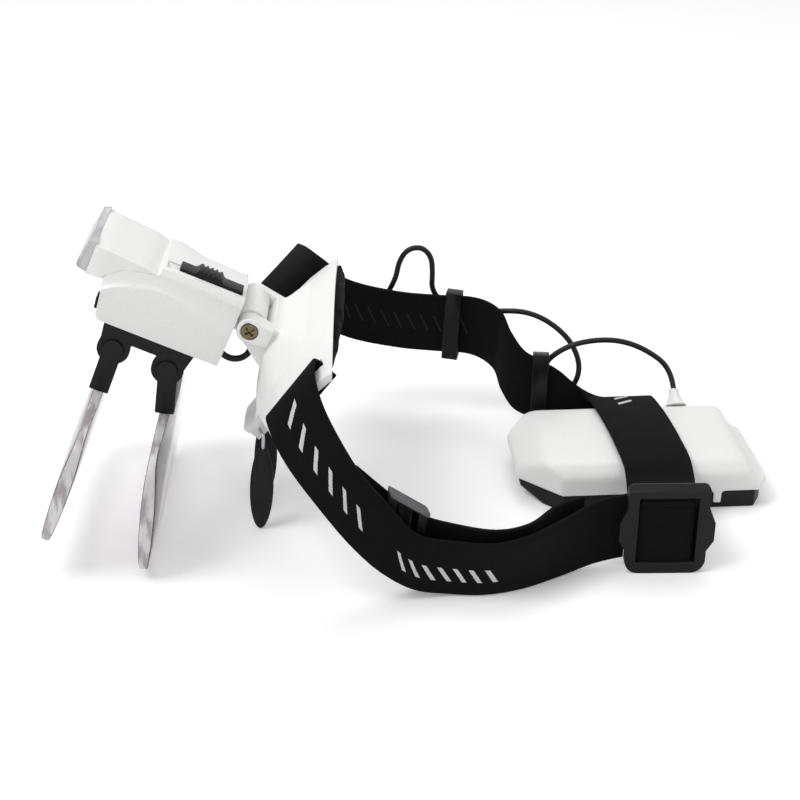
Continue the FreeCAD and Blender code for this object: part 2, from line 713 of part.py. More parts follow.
def rounded_route(points, share=0.45):
    """Straight runs joined by tangent arcs, each as large as its two runs allow."""
    edges, radii = [], []
    start = points[0]
    for index in range(1, len(points) - 1):
        corner = points[index]
        back, ahead = points[index - 1] - corner, points[index + 1] - corner
        reach = share * min(back.Length, ahead.Length)
        one, two = Vector(back).normalize(), Vector(ahead).normalize()
        turn = math.pi - one.getAngle(two)
        radii.append(reach / math.tan(turn / 2))
        first, last = corner + one * reach, corner + two * reach
        middle_way = (one + two).normalize()
        centre = corner + middle_way * (reach / math.cos(math.pi / 2 - turn / 2)
                                        if turn > 3.1 else math.hypot(reach, radii[-1]))
        middle = centre - middle_way * radii[-1]
        edges.append(Part.LineSegment(start, first).toShape())
        edges.append(Part.Arc(first, middle, last).toShape())
        start = last
    edges.append(Part.LineSegment(start, points[-1]).toShape())
    return Part.Wire(edges), radii


def wire_between(points, radius):
    path, radii = rounded_route(points)
    along = (points[1] - points[0]).normalize()
    ring = Part.Wire([Part.Circle(points[0], along, radius).toShape()])
    tube = path.makePipeShell([ring], True, False)
    length = path.Length
    if abs(tube.Volume - math.pi * radius ** 2 * length) > 0.02 * tube.Volume:
        raise RuntimeError("a tube has the wrong volume")
    print("tube: %.1f mm long, arcs of %s mm" % (length, ", ".join("%.1f" % r for r in radii)))
    return tube


def flat_face(corners):
    return Part.Face(Part.makePolygon(corners + corners[:1]))


def skin_over(rings):
    """A closed solid with two flat triangles between each pair of matching edges.

    The two broad sides are split along the same diagonal, so a twist keeps its thickness.
    """
    faces = []
    for ring, following in zip(rings, rings[1:]):
        for index in range(len(ring)):
            after = (index + 1) % len(ring)
            here, there = (ring[index], following[after])
            spare = (ring[after], following[index])
            if index == 2:
                here, there, spare = spare[0], spare[1], (here, there)
            faces.append(flat_face([here, there, spare[0]]))
            faces.append(flat_face([here, there, spare[1]]))
    faces.append(flat_face(rings[0]))
    faces.append(flat_face(rings[-1]))
    shell = Part.Shell(faces)
    shell.sewShape()
    solid = Part.Solid(shell)
    if solid.Volume < 0:
        solid.reverse()
    return solid


def band(label, stations):
    """A strap through its stations, each a point on the lower edge and one on the upper edge."""
    half = mm("strap_thickness") / 2
    width = mm("strap_width")
    lows = [Vector(*low) for low, high in stations]
    highs = []
    for low, (given_low, high) in zip(lows, stations):
        highs.append(low + (Vector(*high) - low).normalize() * width)
    middles = [(low + high) * 0.5 for low, high in zip(lows, highs)]
    rings = []
    for index, (low, high) in enumerate(zip(lows, highs)):
        before = middles[max(index - 1, 0)]
        after = middles[min(index + 1, len(middles) - 1)]
        normal = (after - before).cross(high - low).normalize() * half
        rings.append([low + normal, high + normal, high - normal, low - normal])
    item = doc.addObject("Part::Feature", label)
    item.Label = label
    item.Shape = skin_over(rings)
    return finish(item, FLAT)


# each station: a point on the strap's lower edge, and the way to its upper edge
NEAR_STRAP = [
    ((-37.3, -47.6, 59.1), (-21.2, -42.4, 77.2)),
    ((-43.5, -47.6, 64.8), (-27.6, -42.4, 83.0)),
    ((-42.4, -53.2, 61.6), (-28.2, -50.6, 81.4)),
    ((-37.0, -58.0, 52.0), (-25.0, -57.0, 72.5)),
    ((-27.0, -62.0, 38.5), (-19.0, -61.5, 61.5)),
    ((-18.0, -62.0, 25.5), (-12.5, -61.5, 50.0)),
    ((-8.0, -60.5, 13.5), (-3.5, -60.5, 38.5)),
    ((3.5, -58.0, 4.5), (5.0, -59.5, 29.5)),
    ((16.0, -55.5, 1.0), (16.0, -59.5, 25.5)),
    ((28.0, -55.5, 0.6), (30.0, -61.5, 24.5)),
    ((41.0, -52.0, 0.6), (42.0, -57.5, 24.5)),
    ((54.0, -45.0, 0.6), (54.0, -48.5, 25.0)),
    ((67.0, -39.0, 2.0), (67.0, -39.4, 27.0)),
    ((77.2, -38.0, 4.0), (77.2, -38.0, 29.0)),
]
INNER_STRAP = [
    ((-24.0, -56.5, 37.0), (-17.5, -54.5, 61.0)),
    ((-8.0, -54.5, 15.0), (-4.0, -53.0, 40.0)),
    ((5.0, -50.5, 5.0), (6.0, -51.5, 30.0)),
    ((16.0, -48.5, 1.5), (16.0, -52.0, 26.5)),
    ((30.0, -50.0, 1.0), (31.0, -55.5, 25.7)),
    ((42.0, -46.5, 1.0), (43.0, -51.5, 25.8)),
    ((52.0, -39.5, 1.2), (53.0, -40.5, 26.2)),
    ((62.0, -35.0, 1.6), (63.0, -35.0, 26.6)),
]
FAR_STRAP = [
    ((-37.3, 47.6, 59.1), (-21.2, 42.4, 77.2)),
    ((-44.7, 47.6, 65.8), (-28.6, 42.4, 83.9)),
    ((-50.0, 54.0, 66.0), (-34.0, 53.0, 84.0)),
    ((-55.0, 63.0, 62.0), (-38.0, 66.5, 80.0)),
    ((-48.0, 73.0, 53.0), (-36.0, 76.0, 74.5)),
    ((-34.0, 79.0, 42.0), (-29.0, 79.0, 66.0)),
    ((-19.0, 81.5, 33.5), (-17.5, 80.5, 58.5)),
    ((0.0, 82.0, 29.0), (0.5, 80.5, 54.0)),
    ((15.0, 80.5, 28.0), (16.0, 79.0, 53.0)),
    ((30.0, 77.0, 28.0), (31.5, 76.0, 53.0)),
    ((39.0, 70.0, 25.0), (40.5, 71.0, 50.0)),
    ((42.0, 62.0, 19.0), (44.5, 65.0, 43.5)),
    ((47.0, 57.5, 12.5), (50.0, 60.5, 37.0)),
    ((57.0, 57.0, 8.5), (57.5, 59.0, 33.0)),
    ((74.0, 58.0, 5.0), (65.0, 58.8, 28.0)),
    ((92.0, 58.0, 9.0), (71.0, 57.8, 22.0)),
    ((99.5, 55.6, 18.0), (74.8, 54.4, 19.0)),
    ((100.5, 50.5, 21.9), (75.6, 49.2, 21.9)),
    ((103.6, 24.0, 21.9), (78.9, 21.0, 21.9)),
    ((106.4, 1.0, 21.9), (81.6, -2.0, 21.9)),
    ((106.6, -7.5, 18.0), (81.8, -9.0, 18.0)),
    ((105.8, -16.0, 17.5), (81.0, -17.5, 17.5)),
    ((104.8, -27.0, 22.0), (80.0, -28.0, 22.0)),
    ((103.9, -35.0, 24.0), (79.0, -35.0, 24.0)),
    ((103.5, -37.4, 16.0), (78.6, -37.4, 16.0)),
    ((103.5, -37.6, 2.4), (78.6, -37.6, 2.4)),
]
# the lead along the far side of the band, from the shell's end to the box
CABLE_ROUTE = [
    (-30.0, 85.0, 40.0), (-18.0, 86.5, 42.0), (-6.0, 86.8, 47.0), (-0.5, 84.8, 57.5),
    (0.8, 83.2, 66.0), (4.2, 82.3, 71.6), (9.8, 82.2, 72.6), (13.8, 83.0, 68.2),
    (14.4, 84.6, 60.5), (14.0, 85.6, 52.5), (19.5, 85.4, 46.0), (30.0, 82.0, 44.0),
    (41.0, 78.0, 46.5), (52.0, 75.0, 47.5),
    (62.0, 72.5, 43.5), (70.5, 69.0, 36.0), (74.0, 65.5, 25.5), (69.0, 63.6, 16.0),
    (59.0, 63.0, 18.5), (58.0, 63.2, 30.0), (66.5, 62.6, 37.5), (77.0, 62.4, 40.5),
    (88.0, 62.2, 40.5), (98.5, 62.2, 36.5), (106.0, 61.0, 30.2), (109.6, 55.6, 23.8),
]


def make_cable():
    shift = [Vector(*point) for point in CABLE_ROUTE]
    gland_base, gland_axis = gland_frame()
    shift[-1] = gland_base + gland_axis * mm("gland_length")
    shift[-2] = shift[-1] + gland_axis * mm("gland_straight")
    item = doc.addObject("Part::Feature", "cable")
    item.Label = "cable"
    item.Shape = wire_between(shift, mm("cable_radius"))
    finish(item, FLAT)


def gland_frame():
    """Where the gland leaves the lid's far edge, and which way it points."""
    turn = math.radians(mm("box_turn"))
    along, across = mm("gland_along"), mm("box_width") / 2 - mm("lid_chamfer") * 0.5
    x = mm("box_back") + along * math.cos(turn) - across * math.sin(turn)
    y = mm("box_side") + along * math.sin(turn) + across * math.cos(turn)
    z = mm("base_height") + mm("lid_height") - mm("lid_chamfer") * 0.5
    axis = Vector(-math.sin(turn), math.cos(turn), 1.0).normalize()
    return Vector(x, y, z), axis


def make_gland():
    base, axis = gland_frame()
    sleeve = rod("gland_sleeve", size("gland_radius"), size("gland_length"), (0, 0, 0), "z")
    finish_in("cable_gland", sleeve, FreeCAD.Placement(
        base - Vector(mm("frame_back"), mm("frame_side"), 0),
        FreeCAD.Rotation(Vector(0, 0, 1), axis)))


def make_hinge_cable():
    x0, z0 = in_visor(mm("housing_rear"), 12.0)
    angle = math.radians(mm("visor_pitch"))
    route = [Vector(x0, -6.0, z0),
             Vector(x0 + 4.0 * math.cos(angle), -6.0, z0 - 4.0 * math.sin(angle)),
             Vector(x0 + 8.0, -6.1, z0 - 0.8), Vector(x0 + 10.8, -6.2, z0 + 1.0)]
    item = doc.addObject("Part::Feature", "hinge_cable")
    item.Label = "hinge_cable"
    item.Shape = wire_between(route, mm("cable_radius"))
    finish(item, FLAT)


# ---------------------------------------------------------------- buckle, adjuster and clips

def make_buckle():
    body = new_body("buckle")
    half, tall = size("buckle_length") * 0.5, size("buckle_height")
    corner, bulge = size("buckle_corner"), size("buckle_bulge")
    low, high = tall * 0.26, tall * 0.754
    pad(body, "side", size("buckle_thickness"),
        [(-half, corner), (-half + corner, 0), (half - corner, 0), (half, corner),
         (half, low), (half + bulge, low + 4), (half + bulge, high - 6), (half, high),
         (half, tall), (-half, tall), (-half, high), (-half - bulge, high - 6),
         (-half - bulge, low + 4), (-half, low)])
    sill = (tall - size("window_height")) * 0.5
    pocket(body, "side", size("buckle_thickness") + 2,
           rectangle(size("window_length") * -0.5, size("window_length") * 0.5, sill,
                     sill + size("window_height")))
    finish(body, about_y(mm("buckle_back"), 0.0, 0.0, -mm("buckle_side")))


def make_adjuster():
    body = new_body("strap_adjuster")
    half, tall, bar = size("adjuster_length") * 0.5, size("adjuster_height"), size("adjuster_bar")
    pad(body, "side", size("adjuster_thickness"), rectangle(-half, half, 0, tall))
    for left, right in ((-half + bar, bar * -0.5), (bar * 0.5, half - bar)):
        pocket(body, "side", size("adjuster_thickness") + 2,
               rectangle(left, right, 1.8, tall - 1.8))
    place = station_frame(INNER_STRAP[1], INNER_STRAP[2], 0.5)
    outward = mm("strap_thickness") / 2 + mm("adjuster_thickness") / 2 + mm("adjuster_gap")
    overhang = (mm("adjuster_height") - mm("strap_width")) / 2
    finish(body, place * FreeCAD.Placement(Vector(0, -outward, -overhang), FreeCAD.Rotation()))


def station_frame(before, after, share):
    """The strap's own frame between two stations: X along it, Z up its width."""
    low = Vector(*before[0]) * (1 - share) + Vector(*after[0]) * share
    high = Vector(*before[1]) * (1 - share) + Vector(*after[1]) * share
    up = (high - low).normalize()
    run = (Vector(*after[0]) + Vector(*after[1]) - Vector(*before[0]) - Vector(*before[1]))
    side = up.cross(run).normalize()
    turn = FreeCAD.Rotation(side.cross(up), side, up)
    return FreeCAD.Placement(low - Vector(mm("frame_back"), mm("frame_side"), 0), turn)


def make_clip(label, before, after, share):
    """A flat keeper that wraps the strap on edge."""
    width, wall = size("strap_width"), size("clip_wall")
    gap, side_gap = size("clip_gap"), size("clip_side_gap")
    thick = size("strap_thickness")
    outer = box(label + "_outer", (size("clip_length"), thick + (wall + side_gap) * 2,
                                   width + (wall + gap) * 2),
                (size("clip_length") * -0.5, thick * -0.5 - wall - side_gap, (wall + gap) * -1))
    inner = box(label + "_inner", (size("clip_length") + 2, thick + side_gap * 2,
                                   width + gap * 2),
                (size("clip_length") * -0.5 - 1, thick * -0.5 - side_gap, -gap))
    finish(cut(label, outer, inner), station_frame(before, after, share))


# ---------------------------------------------------------------- battery box

box_length, box_width = size("box_length"), size("box_width")
base_height, lid_height, box_wall = size("base_height"), size("lid_height"), size("box_wall")


def taper_corners(body, half, wide, height):
    """Cut the box's four upright corners: long slants at the left end, short ones at the right."""
    for sign, left_run, left_rise, right_run, right_rise in (
            (-1, 14.5, 14.5, 3.5, 6.0), (1, 10.0, 9.0, 10.0, 8.0)):
        edge = wide * 0.5 * sign
        pocket(body, "plan", height, [(-half - 1, edge + sign), (-half - 1, edge - left_rise * sign),
                                      (-half, edge - left_rise * sign), (-half + left_run, edge),
                                      (-half + left_run, edge + sign)])
        pocket(body, "plan", height, [(half + 1, edge + sign), (half - right_run, edge + sign),
                                      (half - right_run, edge),
                                      (half, edge - right_rise * sign),
                                      (half + 1, edge - right_rise * sign)])


def make_box_base():
    body = new_body("box_base")
    half, inset = box_length * 0.5, size("base_inset")
    wide = box_width - inset * 2
    pad(body, "side", wide, [(-half + inset + 8, 0), (half - inset, 0), (half - inset, base_height),
                             (-half + inset, base_height), (-half + inset, 4)])
    taper_corners(body, half - inset, wide, base_height * 2 + 2)
    pocket(body, "side", box_width * 0.8,
           rectangle(-half + size("hollow_front"), half - size("hollow_rear"), box_wall,
                     base_height + 1))
    finish(body, BOX)


def make_box_lid():
    body = new_body("box_lid_shell")
    half, top = box_length * 0.5, base_height + lid_height
    chamfer, flange = size("lid_chamfer"), base_height + size("flange_height")
    pad(body, "side", box_width,
        [(-half, base_height), (half, base_height), (half, flange), (half - chamfer, flange + 0.8),
         (half - chamfer * 1.5, top - chamfer * 0.4), (half - chamfer * 2.2, top),
         (-half + chamfer * 2, top), (-half, top - chamfer * 1.4)])
    for sign in (-1, 1):
        edge = box_width * 0.5 * sign
        pocket(body, "front", box_length + 2,
               [(edge + sign, top - chamfer), (edge, top - chamfer),
                (edge - chamfer * sign, top), (edge - chamfer * sign, top + 1),
                (edge + sign, top + 1)])
    taper_corners(body, half, box_width, top * 2 + 2)
    pocket(body, "side", box_width * 0.8,
           rectangle(-half + size("hollow_front"), half - size("hollow_rear"), base_height - 1,
                     top - box_wall - 0.6))
    pocket(body, "side", box_width * 0.5,
           rectangle(-half + box_wall * 2, half - chamfer * 2, base_height - 1, top - chamfer * 1.5))
    tongue = box("box_tongue", (size("tongue_width"), size("tongue_thickness"),
                                size("tongue_drop") + size("flange_height")),
                 (size("tongue_along"), box_width * -0.5, base_height - size("tongue_drop")))
    finish_in("box_lid", fuse("box_lid_whole", [body, tongue]), BOX)


def make_power():
    """Three cells side by side, every other one turned round, with springs and plates."""
    lift = base_height + 1.0
    half = size("cell_length") * 0.5
    cells, springs, plates = [], [], []
    for index in range(3):
        side = size("cell_pitch") * (index - 1)
        way = -1 if index % 2 else 1
        cells.append(rod("cell_body_%d" % index, size("cell_radius"), size("cell_length"),
                         (-half, side, lift), "x"))
        nub_start = half if way > 0 else -half - size("cell_nub")
        cells.append(rod("cell_nub_%d" % index, size("cell_radius") * 0.4, size("cell_nub"),
                         (nub_start, side, lift), "x"))
        spring_start = -half - size("spring_length") if way > 0 else half
        springs.append(rod("spring_%d" % index, size("spring_radius"), size("spring_length"),
                           (spring_start, side, lift), "x"))
    for name, start in (("front", -half - size("spring_length") - size("contact_thickness")),
                        ("rear", half + size("spring_length"))):
        plates.append(box("contact_" + name, (size("contact_thickness"), size("cell_pitch") * 2.8,
                                              size("cell_radius") * 1.6),
                          (start, size("cell_pitch") * -1.4, lift - size("cell_radius") * 0.8)))
    finish(fuse("cells", cells), BOX)
    finish(group("contact_springs", springs), BOX)
    finish(group("contact_plates", plates), BOX)


# ---------------------------------------------------------------- build everything and write it

make_lower_housing()
make_upper_housing()
make_lamp_hood()
make_lamp_lens()
make_lamp_insides()
make_switch()
make_lens_holder()
make_pins()
make_holder_screw()
make_front_plate()
make_arm("front", mm("front_lean"))
make_arm("rear", mm("rear_lean"))
make_lens("front", mm("front_lean"))
make_lens("rear", mm("rear_lean"))
make_forehead_shell()
make_forehead_pad()
make_hinge_screw()
make_nose_parts()
band("strap_near", NEAR_STRAP)
band("strap_near_inner", INNER_STRAP)
band("strap_far", FAR_STRAP)
make_buckle()
make_adjuster()
make_clip("clip_front", FAR_STRAP[8], FAR_STRAP[9], 0.45)
make_clip("clip_rear", FAR_STRAP[12], FAR_STRAP[13], 0.9)
make_box_base()
make_box_lid()
make_power()
make_gland()
make_cable()
make_hinge_cable()
doc.recompute()

for item in doc.Objects:
    if {"Invalid", "Error"} & set(item.State):
        raise RuntimeError("%s failed: %s" % (item.Label, item.State))
for item in parts:
    if item.Shape.isNull() or not item.Shape.isValid():
        raise RuntimeError("%s has no valid shape" % item.Label)

os.makedirs("parts", exist_ok=True)
for item in parts:
    item.Shape.exportStep("parts/%s.step" % item.Label)
print("wrote %d nodes" % len(parts))
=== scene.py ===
"""A head-worn magnifier: white visor with lamp, two flip lenses, black band and cell box."""
import math

import bpy
from mathutils import Matrix, Vector


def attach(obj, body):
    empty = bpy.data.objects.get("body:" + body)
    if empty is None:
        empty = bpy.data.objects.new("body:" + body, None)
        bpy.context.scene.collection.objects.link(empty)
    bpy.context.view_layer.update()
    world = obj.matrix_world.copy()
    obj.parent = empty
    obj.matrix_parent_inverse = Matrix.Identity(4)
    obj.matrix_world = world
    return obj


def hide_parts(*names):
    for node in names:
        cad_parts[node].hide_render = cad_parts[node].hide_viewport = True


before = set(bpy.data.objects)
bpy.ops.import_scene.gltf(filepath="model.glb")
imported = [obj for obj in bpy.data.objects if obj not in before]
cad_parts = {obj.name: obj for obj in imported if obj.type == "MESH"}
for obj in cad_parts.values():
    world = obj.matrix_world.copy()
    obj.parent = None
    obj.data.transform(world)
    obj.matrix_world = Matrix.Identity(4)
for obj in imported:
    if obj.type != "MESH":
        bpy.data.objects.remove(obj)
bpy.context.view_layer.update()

bl_info = {
    "name": "Head visor magnifier",
    "version": (1, 0, 0),
    "blender": (4, 5, 0),
    "location": "3D View > Sidebar > Visor",
    "description": "Builds and dresses a head visor magnifier on its solid frame",
    "category": "Object",
}

MM = 0.001
# the drawing places the band's middle here; the frame's origin is the middle of the whole part
SHIFT = Vector((6.55, 12.55, 0.0))


def place(x, y, z):
    """A point of the drawing, in millimetres, as a point of the frame in metres."""
    return (Vector((x, y, z)) - SHIFT) * MM


# ---------------------------------------------------------------- the routes of lead and band

# the lead along the far side of the band, in millimetres, the same points as the solid's
LEAD_ROUTE = [
    (-30.0, 85.0, 40.0), (-18.0, 86.5, 42.0), (-6.0, 86.8, 47.0), (-0.5, 84.8, 57.5),
    (0.8, 83.2, 66.0), (4.2, 82.3, 71.6), (9.8, 82.2, 72.6), (13.8, 83.0, 68.2),
    (14.4, 84.6, 60.5), (14.0, 85.6, 52.5), (19.5, 85.4, 46.0), (30.0, 82.0, 44.0),
    (41.0, 78.0, 46.5), (52.0, 75.0, 47.5), (62.0, 72.5, 43.5), (70.5, 69.0, 36.0),
    (74.0, 65.5, 25.5), (69.0, 63.6, 16.0), (59.0, 63.0, 18.5), (58.0, 63.2, 30.0),
    (66.5, 62.6, 37.5), (77.0, 62.4, 40.5), (88.0, 62.2, 40.5), (98.5, 62.2, 36.5),
    (109.12, 60.39, 28.81), (109.45, 54.03, 22.45),
]
LEAD_DIAMETER = 0.0022
# how far back the pad's upright rear face lies, in millimetres of the drawing
PAD_REAR = -19.3

# each station of a band is its lower and its upper edge
NEAR_BAND = [
    ((-37.3, -47.6, 59.1), (-21.2, -42.4, 77.2)), ((-43.5, -47.6, 64.8), (-27.6, -42.4, 83.0)),
    ((-42.4, -53.2, 61.6), (-28.2, -50.6, 81.4)), ((-37.0, -58.0, 52.0), (-25.0, -57.0, 72.5)),
    ((-27.0, -62.0, 38.5), (-19.0, -61.5, 61.5)), ((-18.0, -62.0, 25.5), (-12.5, -61.5, 50.0)),
    ((-8.0, -60.5, 13.5), (-3.5, -60.5, 37.5)), ((3.5, -58.0, 4.5), (5.0, -59.5, 26.8)),
    ((16.0, -55.5, 1.0), (16.0, -59.5, 24.0)), ((28.0, -55.5, 0.6), (30.0, -61.5, 24.0)),
    ((41.0, -52.0, 0.6), (42.0, -57.5, 24.5)), ((54.0, -45.0, 0.6), (54.0, -48.5, 25.0)),
    ((67.0, -39.0, 2.0), (67.0, -39.4, 27.0)), ((77.2, -38.0, 4.0), (77.2, -38.0, 29.0)),
]
INNER_BAND = [
    ((-21.5, -56.5, 31.0), (-15.0, -54.5, 50.5)), ((-8.0, -54.5, 15.0), (-4.0, -53.0, 39.0)),
    ((5.0, -50.5, 5.0), (6.0, -51.5, 30.0)), ((16.0, -48.5, 1.5), (16.0, -52.0, 26.5)),
    ((30.0, -50.0, 1.0), (31.0, -55.5, 25.7)), ((42.0, -46.5, 1.0), (43.0, -51.5, 25.8)),
    ((52.0, -39.5, 1.2), (53.0, -40.5, 26.2)), ((62.0, -35.0, 1.6), (63.0, -35.0, 26.6)),
]
FAR_BAND = [
    ((-37.3, 47.6, 59.1), (-21.2, 42.4, 77.2)), ((-44.7, 47.6, 65.8), (-28.6, 42.4, 83.9)),
    ((-50.0, 54.0, 66.0), (-34.0, 53.0, 84.0)), ((-55.0, 63.0, 62.0), (-38.0, 66.5, 80.0)),
    ((-48.0, 73.0, 53.0), (-36.0, 76.0, 74.5)), ((-34.0, 79.0, 42.0), (-29.0, 79.0, 66.0)),
    ((-19.0, 81.5, 33.5), (-17.5, 80.5, 58.5)), ((0.0, 82.0, 29.0), (0.5, 80.5, 54.0)),
    ((15.0, 80.5, 28.0), (16.0, 79.0, 53.0)), ((30.0, 77.0, 28.0), (31.5, 76.0, 53.0)),
    ((39.0, 70.0, 25.0), (40.5, 71.0, 50.0)), ((42.0, 62.0, 19.0), (44.5, 65.0, 43.5)),
    ((47.0, 57.5, 12.5), (50.0, 60.5, 37.0)), ((57.0, 57.0, 8.5), (57.5, 59.0, 33.0)),
    ((74.0, 58.0, 5.0), (65.0, 58.8, 28.0)), ((92.0, 58.0, 9.0), (71.0, 57.8, 22.0)),
    ((99.5, 55.6, 17.4), (74.8, 54.4, 18.4)), ((100.5, 50.5, 20.6), (75.6, 49.2, 20.6)),
    ((102.1, 37.5, 22.1), (77.3, 35.0, 22.1)), ((103.6, 24.0, 22.6), (78.9, 21.0, 22.6)),
    ((105.0, 12.0, 22.1), (80.2, 9.5, 22.1)), ((106.4, 1.0, 20.6), (81.6, -2.0, 20.6)),
    ((106.6, -7.5, 18.0), (81.8, -9.0, 18.0)), ((105.8, -16.0, 17.5), (81.0, -17.5, 17.5)),
    ((104.8, -27.0, 22.0), (80.0, -28.0, 22.0)), ((103.9, -35.0, 24.0), (79.0, -35.0, 24.0)),
    ((103.5, -37.4, 16.0), (78.6, -37.4, 16.0)), ((103.5, -37.6, 2.4), (78.6, -37.6, 2.4)),
]


# ---------------------------------------------------------------- colour and node helpers

def linear(hex_colour):
    """An sRGB hex colour as the linear RGBA that a shader takes."""
    parts = [int(hex_colour[i:i + 2], 16) / 255 for i in (1, 3, 5)]
    return tuple(p / 12.92 if p <= 0.04045 else ((p + 0.055) / 1.055) ** 2.4
                 for p in parts) + (1.0,)


def add_node(tree, kind, settings=None, values=None, links=None):
    """Add one node with its settings and input values, and link its inputs to other sockets."""
    node = tree.nodes.new(kind)
    for key, value in (settings or {}).items():
        setattr(node, key, value)
    for key, value in (values or {}).items():
        node.inputs[key].default_value = value
    for key, socket in (links or {}).items():
        tree.links.new(socket, node.inputs[key])
    return node


def maths(tree, kind, *inputs):
    """One step of arithmetic between numbers and sockets, as a socket."""
    values = {i: item for i, item in enumerate(inputs) if isinstance(item, (int, float))}
    links = {i: item for i, item in enumerate(inputs) if i not in values}
    return add_node(tree, "ShaderNodeMath", {"operation": kind}, values, links).outputs[0]


def new_material(name, values):
    """A material with one shader whose even values are set on its own sockets."""
    material = bpy.data.materials.new(name)
    material.use_nodes = True
    shader = material.node_tree.nodes["Principled BSDF"]
    for key, value in values.items():
        shader.inputs[key].default_value = value
    return material, material.node_tree, shader


def grain(tree, shader, scale, strength, distance, detail=3.0):
    """A fine moulded or sprayed grain as bump, its scale in cells per metre."""
    where = add_node(tree, "ShaderNodeTexCoord").outputs["Object"]
    cells = add_node(tree, "ShaderNodeTexNoise", None,
                     {"Scale": scale, "Detail": detail, "Roughness": 0.55}, {"Vector": where})
    bump = add_node(tree, "ShaderNodeBump", None, {"Strength": strength, "Distance": distance},
                    {"Height": cells.outputs["Fac"]})
    tree.links.new(bump.outputs["Normal"], shader.inputs["Normal"])
    return where, cells


def shade_between(tree, shader, factor, low, high, at=(0.3, 0.7), socket="Base Color"):
    """Colour a shader from low to high as a factor goes across the stops."""
    ramp = add_node(tree, "ShaderNodeValToRGB", None, None, {"Fac": factor})
    ramp.color_ramp.elements[0].position, ramp.color_ramp.elements[1].position = at
    ramp.color_ramp.elements[0].color, ramp.color_ramp.elements[1].color = low, high
    tree.links.new(ramp.outputs["Color"], shader.inputs[socket])


def vary_roughness(tree, shader, where, scale, low, high):
    """Handled patches of slightly different gloss."""
    patches = add_node(tree, "ShaderNodeTexNoise", None, {"Scale": scale, "Detail": 2.0},
                       {"Vector": where})
    spread = add_node(tree, "ShaderNodeMapRange", None, {"To Min": low, "To Max": high},
                      {"Value": patches.outputs["Fac"]})
    tree.links.new(spread.outputs["Result"], shader.inputs["Roughness"])


# ---------------------------------------------------------------- materials

def grained(name, values, skin, dark, light, patches=None, detail=3.0):
    """A material with a grained skin (scale, strength, depth), shaded from dark to light.

    patches, where given, are the scale, the low and the high of its roughness.
    """
    material, tree, shader = new_material(name, values)
    where, cells = grain(tree, shader, *skin, detail=detail)
    if patches:
        vary_roughness(tree, shader, where, *patches)
    shade_between(tree, shader, cells.outputs["Fac"], linear(dark), linear(light))
    return material


def moulded_white_abs(colour):
    """White ABS from a satin tool: soft, even light with a very fine grain."""
    return grained("moulded white ABS", {"IOR": 1.53}, (2600.0, 0.10, 0.00012), colour, "#F4F4F3",
                   (90.0, 0.33, 0.45))


def moulded_black_abs(name, colour, light, rough, pebbles):
    """Black ABS, spark-eroded: grey sheen on edges and a visible pebble grain."""
    return grained(name, {"IOR": 1.53, "Specular IOR Level": 0.22}, (1900.0, pebbles, 0.0002),
                   colour, light, (70.0, rough - 0.07, rough + 0.07))


def polished_acrylic(name, tint, roughness):
    """Clear cast acrylic with a polished face, almost without colour of its own."""
    material, tree, shader = new_material(name, {
        "IOR": 1.49, "Roughness": roughness, "Transmission Weight": 1.0,
        "Base Color": linear(tint)})
    grain(tree, shader, 45.0, 0.03, 0.0004, detail=1.0)
    return material


def acrylic_with_painted_streaks(name, dark, light, roughness, clearness):
    """Cast acrylic seen through its own thickness: its own grey-lilac tint, with painted light and
    dark streaks down its length that stand in for the highlights, reflections and shade that show
    its bow.
    """
    material, tree, shader = new_material(name, {
        "IOR": 1.49, "Roughness": roughness, "Transmission Weight": clearness})
    where = add_node(tree, "ShaderNodeTexCoord").outputs["Object"]
    drawn = add_node(tree, "ShaderNodeMapping", None, {"Scale": (260.0, 60.0, 60.0)},
                     {"Vector": where})
    streaks = add_node(tree, "ShaderNodeTexNoise", None, {"Scale": 1.6, "Detail": 3.0},
                       {"Vector": drawn.outputs[0]})
    # painted highlights and shade: the streaks from dark to light stand in for reflections and
    # shade in the clear acrylic, over its own grey-lilac tint
    shade_between(tree, shader, streaks.outputs["Fac"], linear(dark), linear(light), (0.38, 0.56))
    return material


# woven marks: the first bar and the one past the last, counted along the band, then in
# millimetres the middle of the row, half its height, the pitch and a bar's width; slant, colour
NEAR_MARKS = [(3, 9, 11.5, 3.1, 8.2, 2.1, 0.55, "#D2D2D0"),
              (16, 23, 9.5, 3.1, 5.4, 1.7, 0.55, "#D2D2D0")]
FAR_MARKS = [(36, 39, 12.5, 3.0, 5.4, 1.7, -0.5, "#D2D2D0"),
             (12, 25, 12.5, 3.4, 5.4, 0.9, 0.5, "#242426")]


def woven_marks(tree, shader, weave, marks):
    """Rows of slanted bars woven in lighter yarn, ragged where the picks turn."""
    axes = add_node(tree, "ShaderNodeSeparateXYZ", None, None, {0: weave}).outputs
    ragged = add_node(tree, "ShaderNodeTexNoise", None, {"Scale": 2.2, "Detail": 2.0},
                      {"Vector": weave}).outputs["Fac"]
    for first, past, middle, half, pitch, width, slant, colour in marks:
        leaning = maths(tree, "MULTIPLY_ADD", axes["Y"], slant, axes["X"])
        leaning = maths(tree, "MULTIPLY_ADD", ragged, 0.7, leaning)
        bars = maths(tree, "LESS_THAN", maths(tree, "FLOORED_MODULO", leaning, pitch), width)
        height = maths(tree, "COMPARE", axes["Y"], middle, half)
        run = maths(tree, "COMPARE", leaning, (first + past) * pitch / 2 - 1.0,
                    (past - first) * pitch / 2)
        mask = maths(tree, "MULTIPLY", maths(tree, "MULTIPLY", bars, height), run)
        below = shader.inputs["Base Color"].links[0].from_socket
        mix = add_node(tree, "ShaderNodeMix", {"data_type": "RGBA"}, {7: linear(colour)},
                       {0: mask, 6: below})
        tree.links.new(mix.outputs[2], shader.inputs["Base Color"])


# at scale 1 a wave texture has one band in this many units, here millimetres
WAVE_PITCH = 0.31416


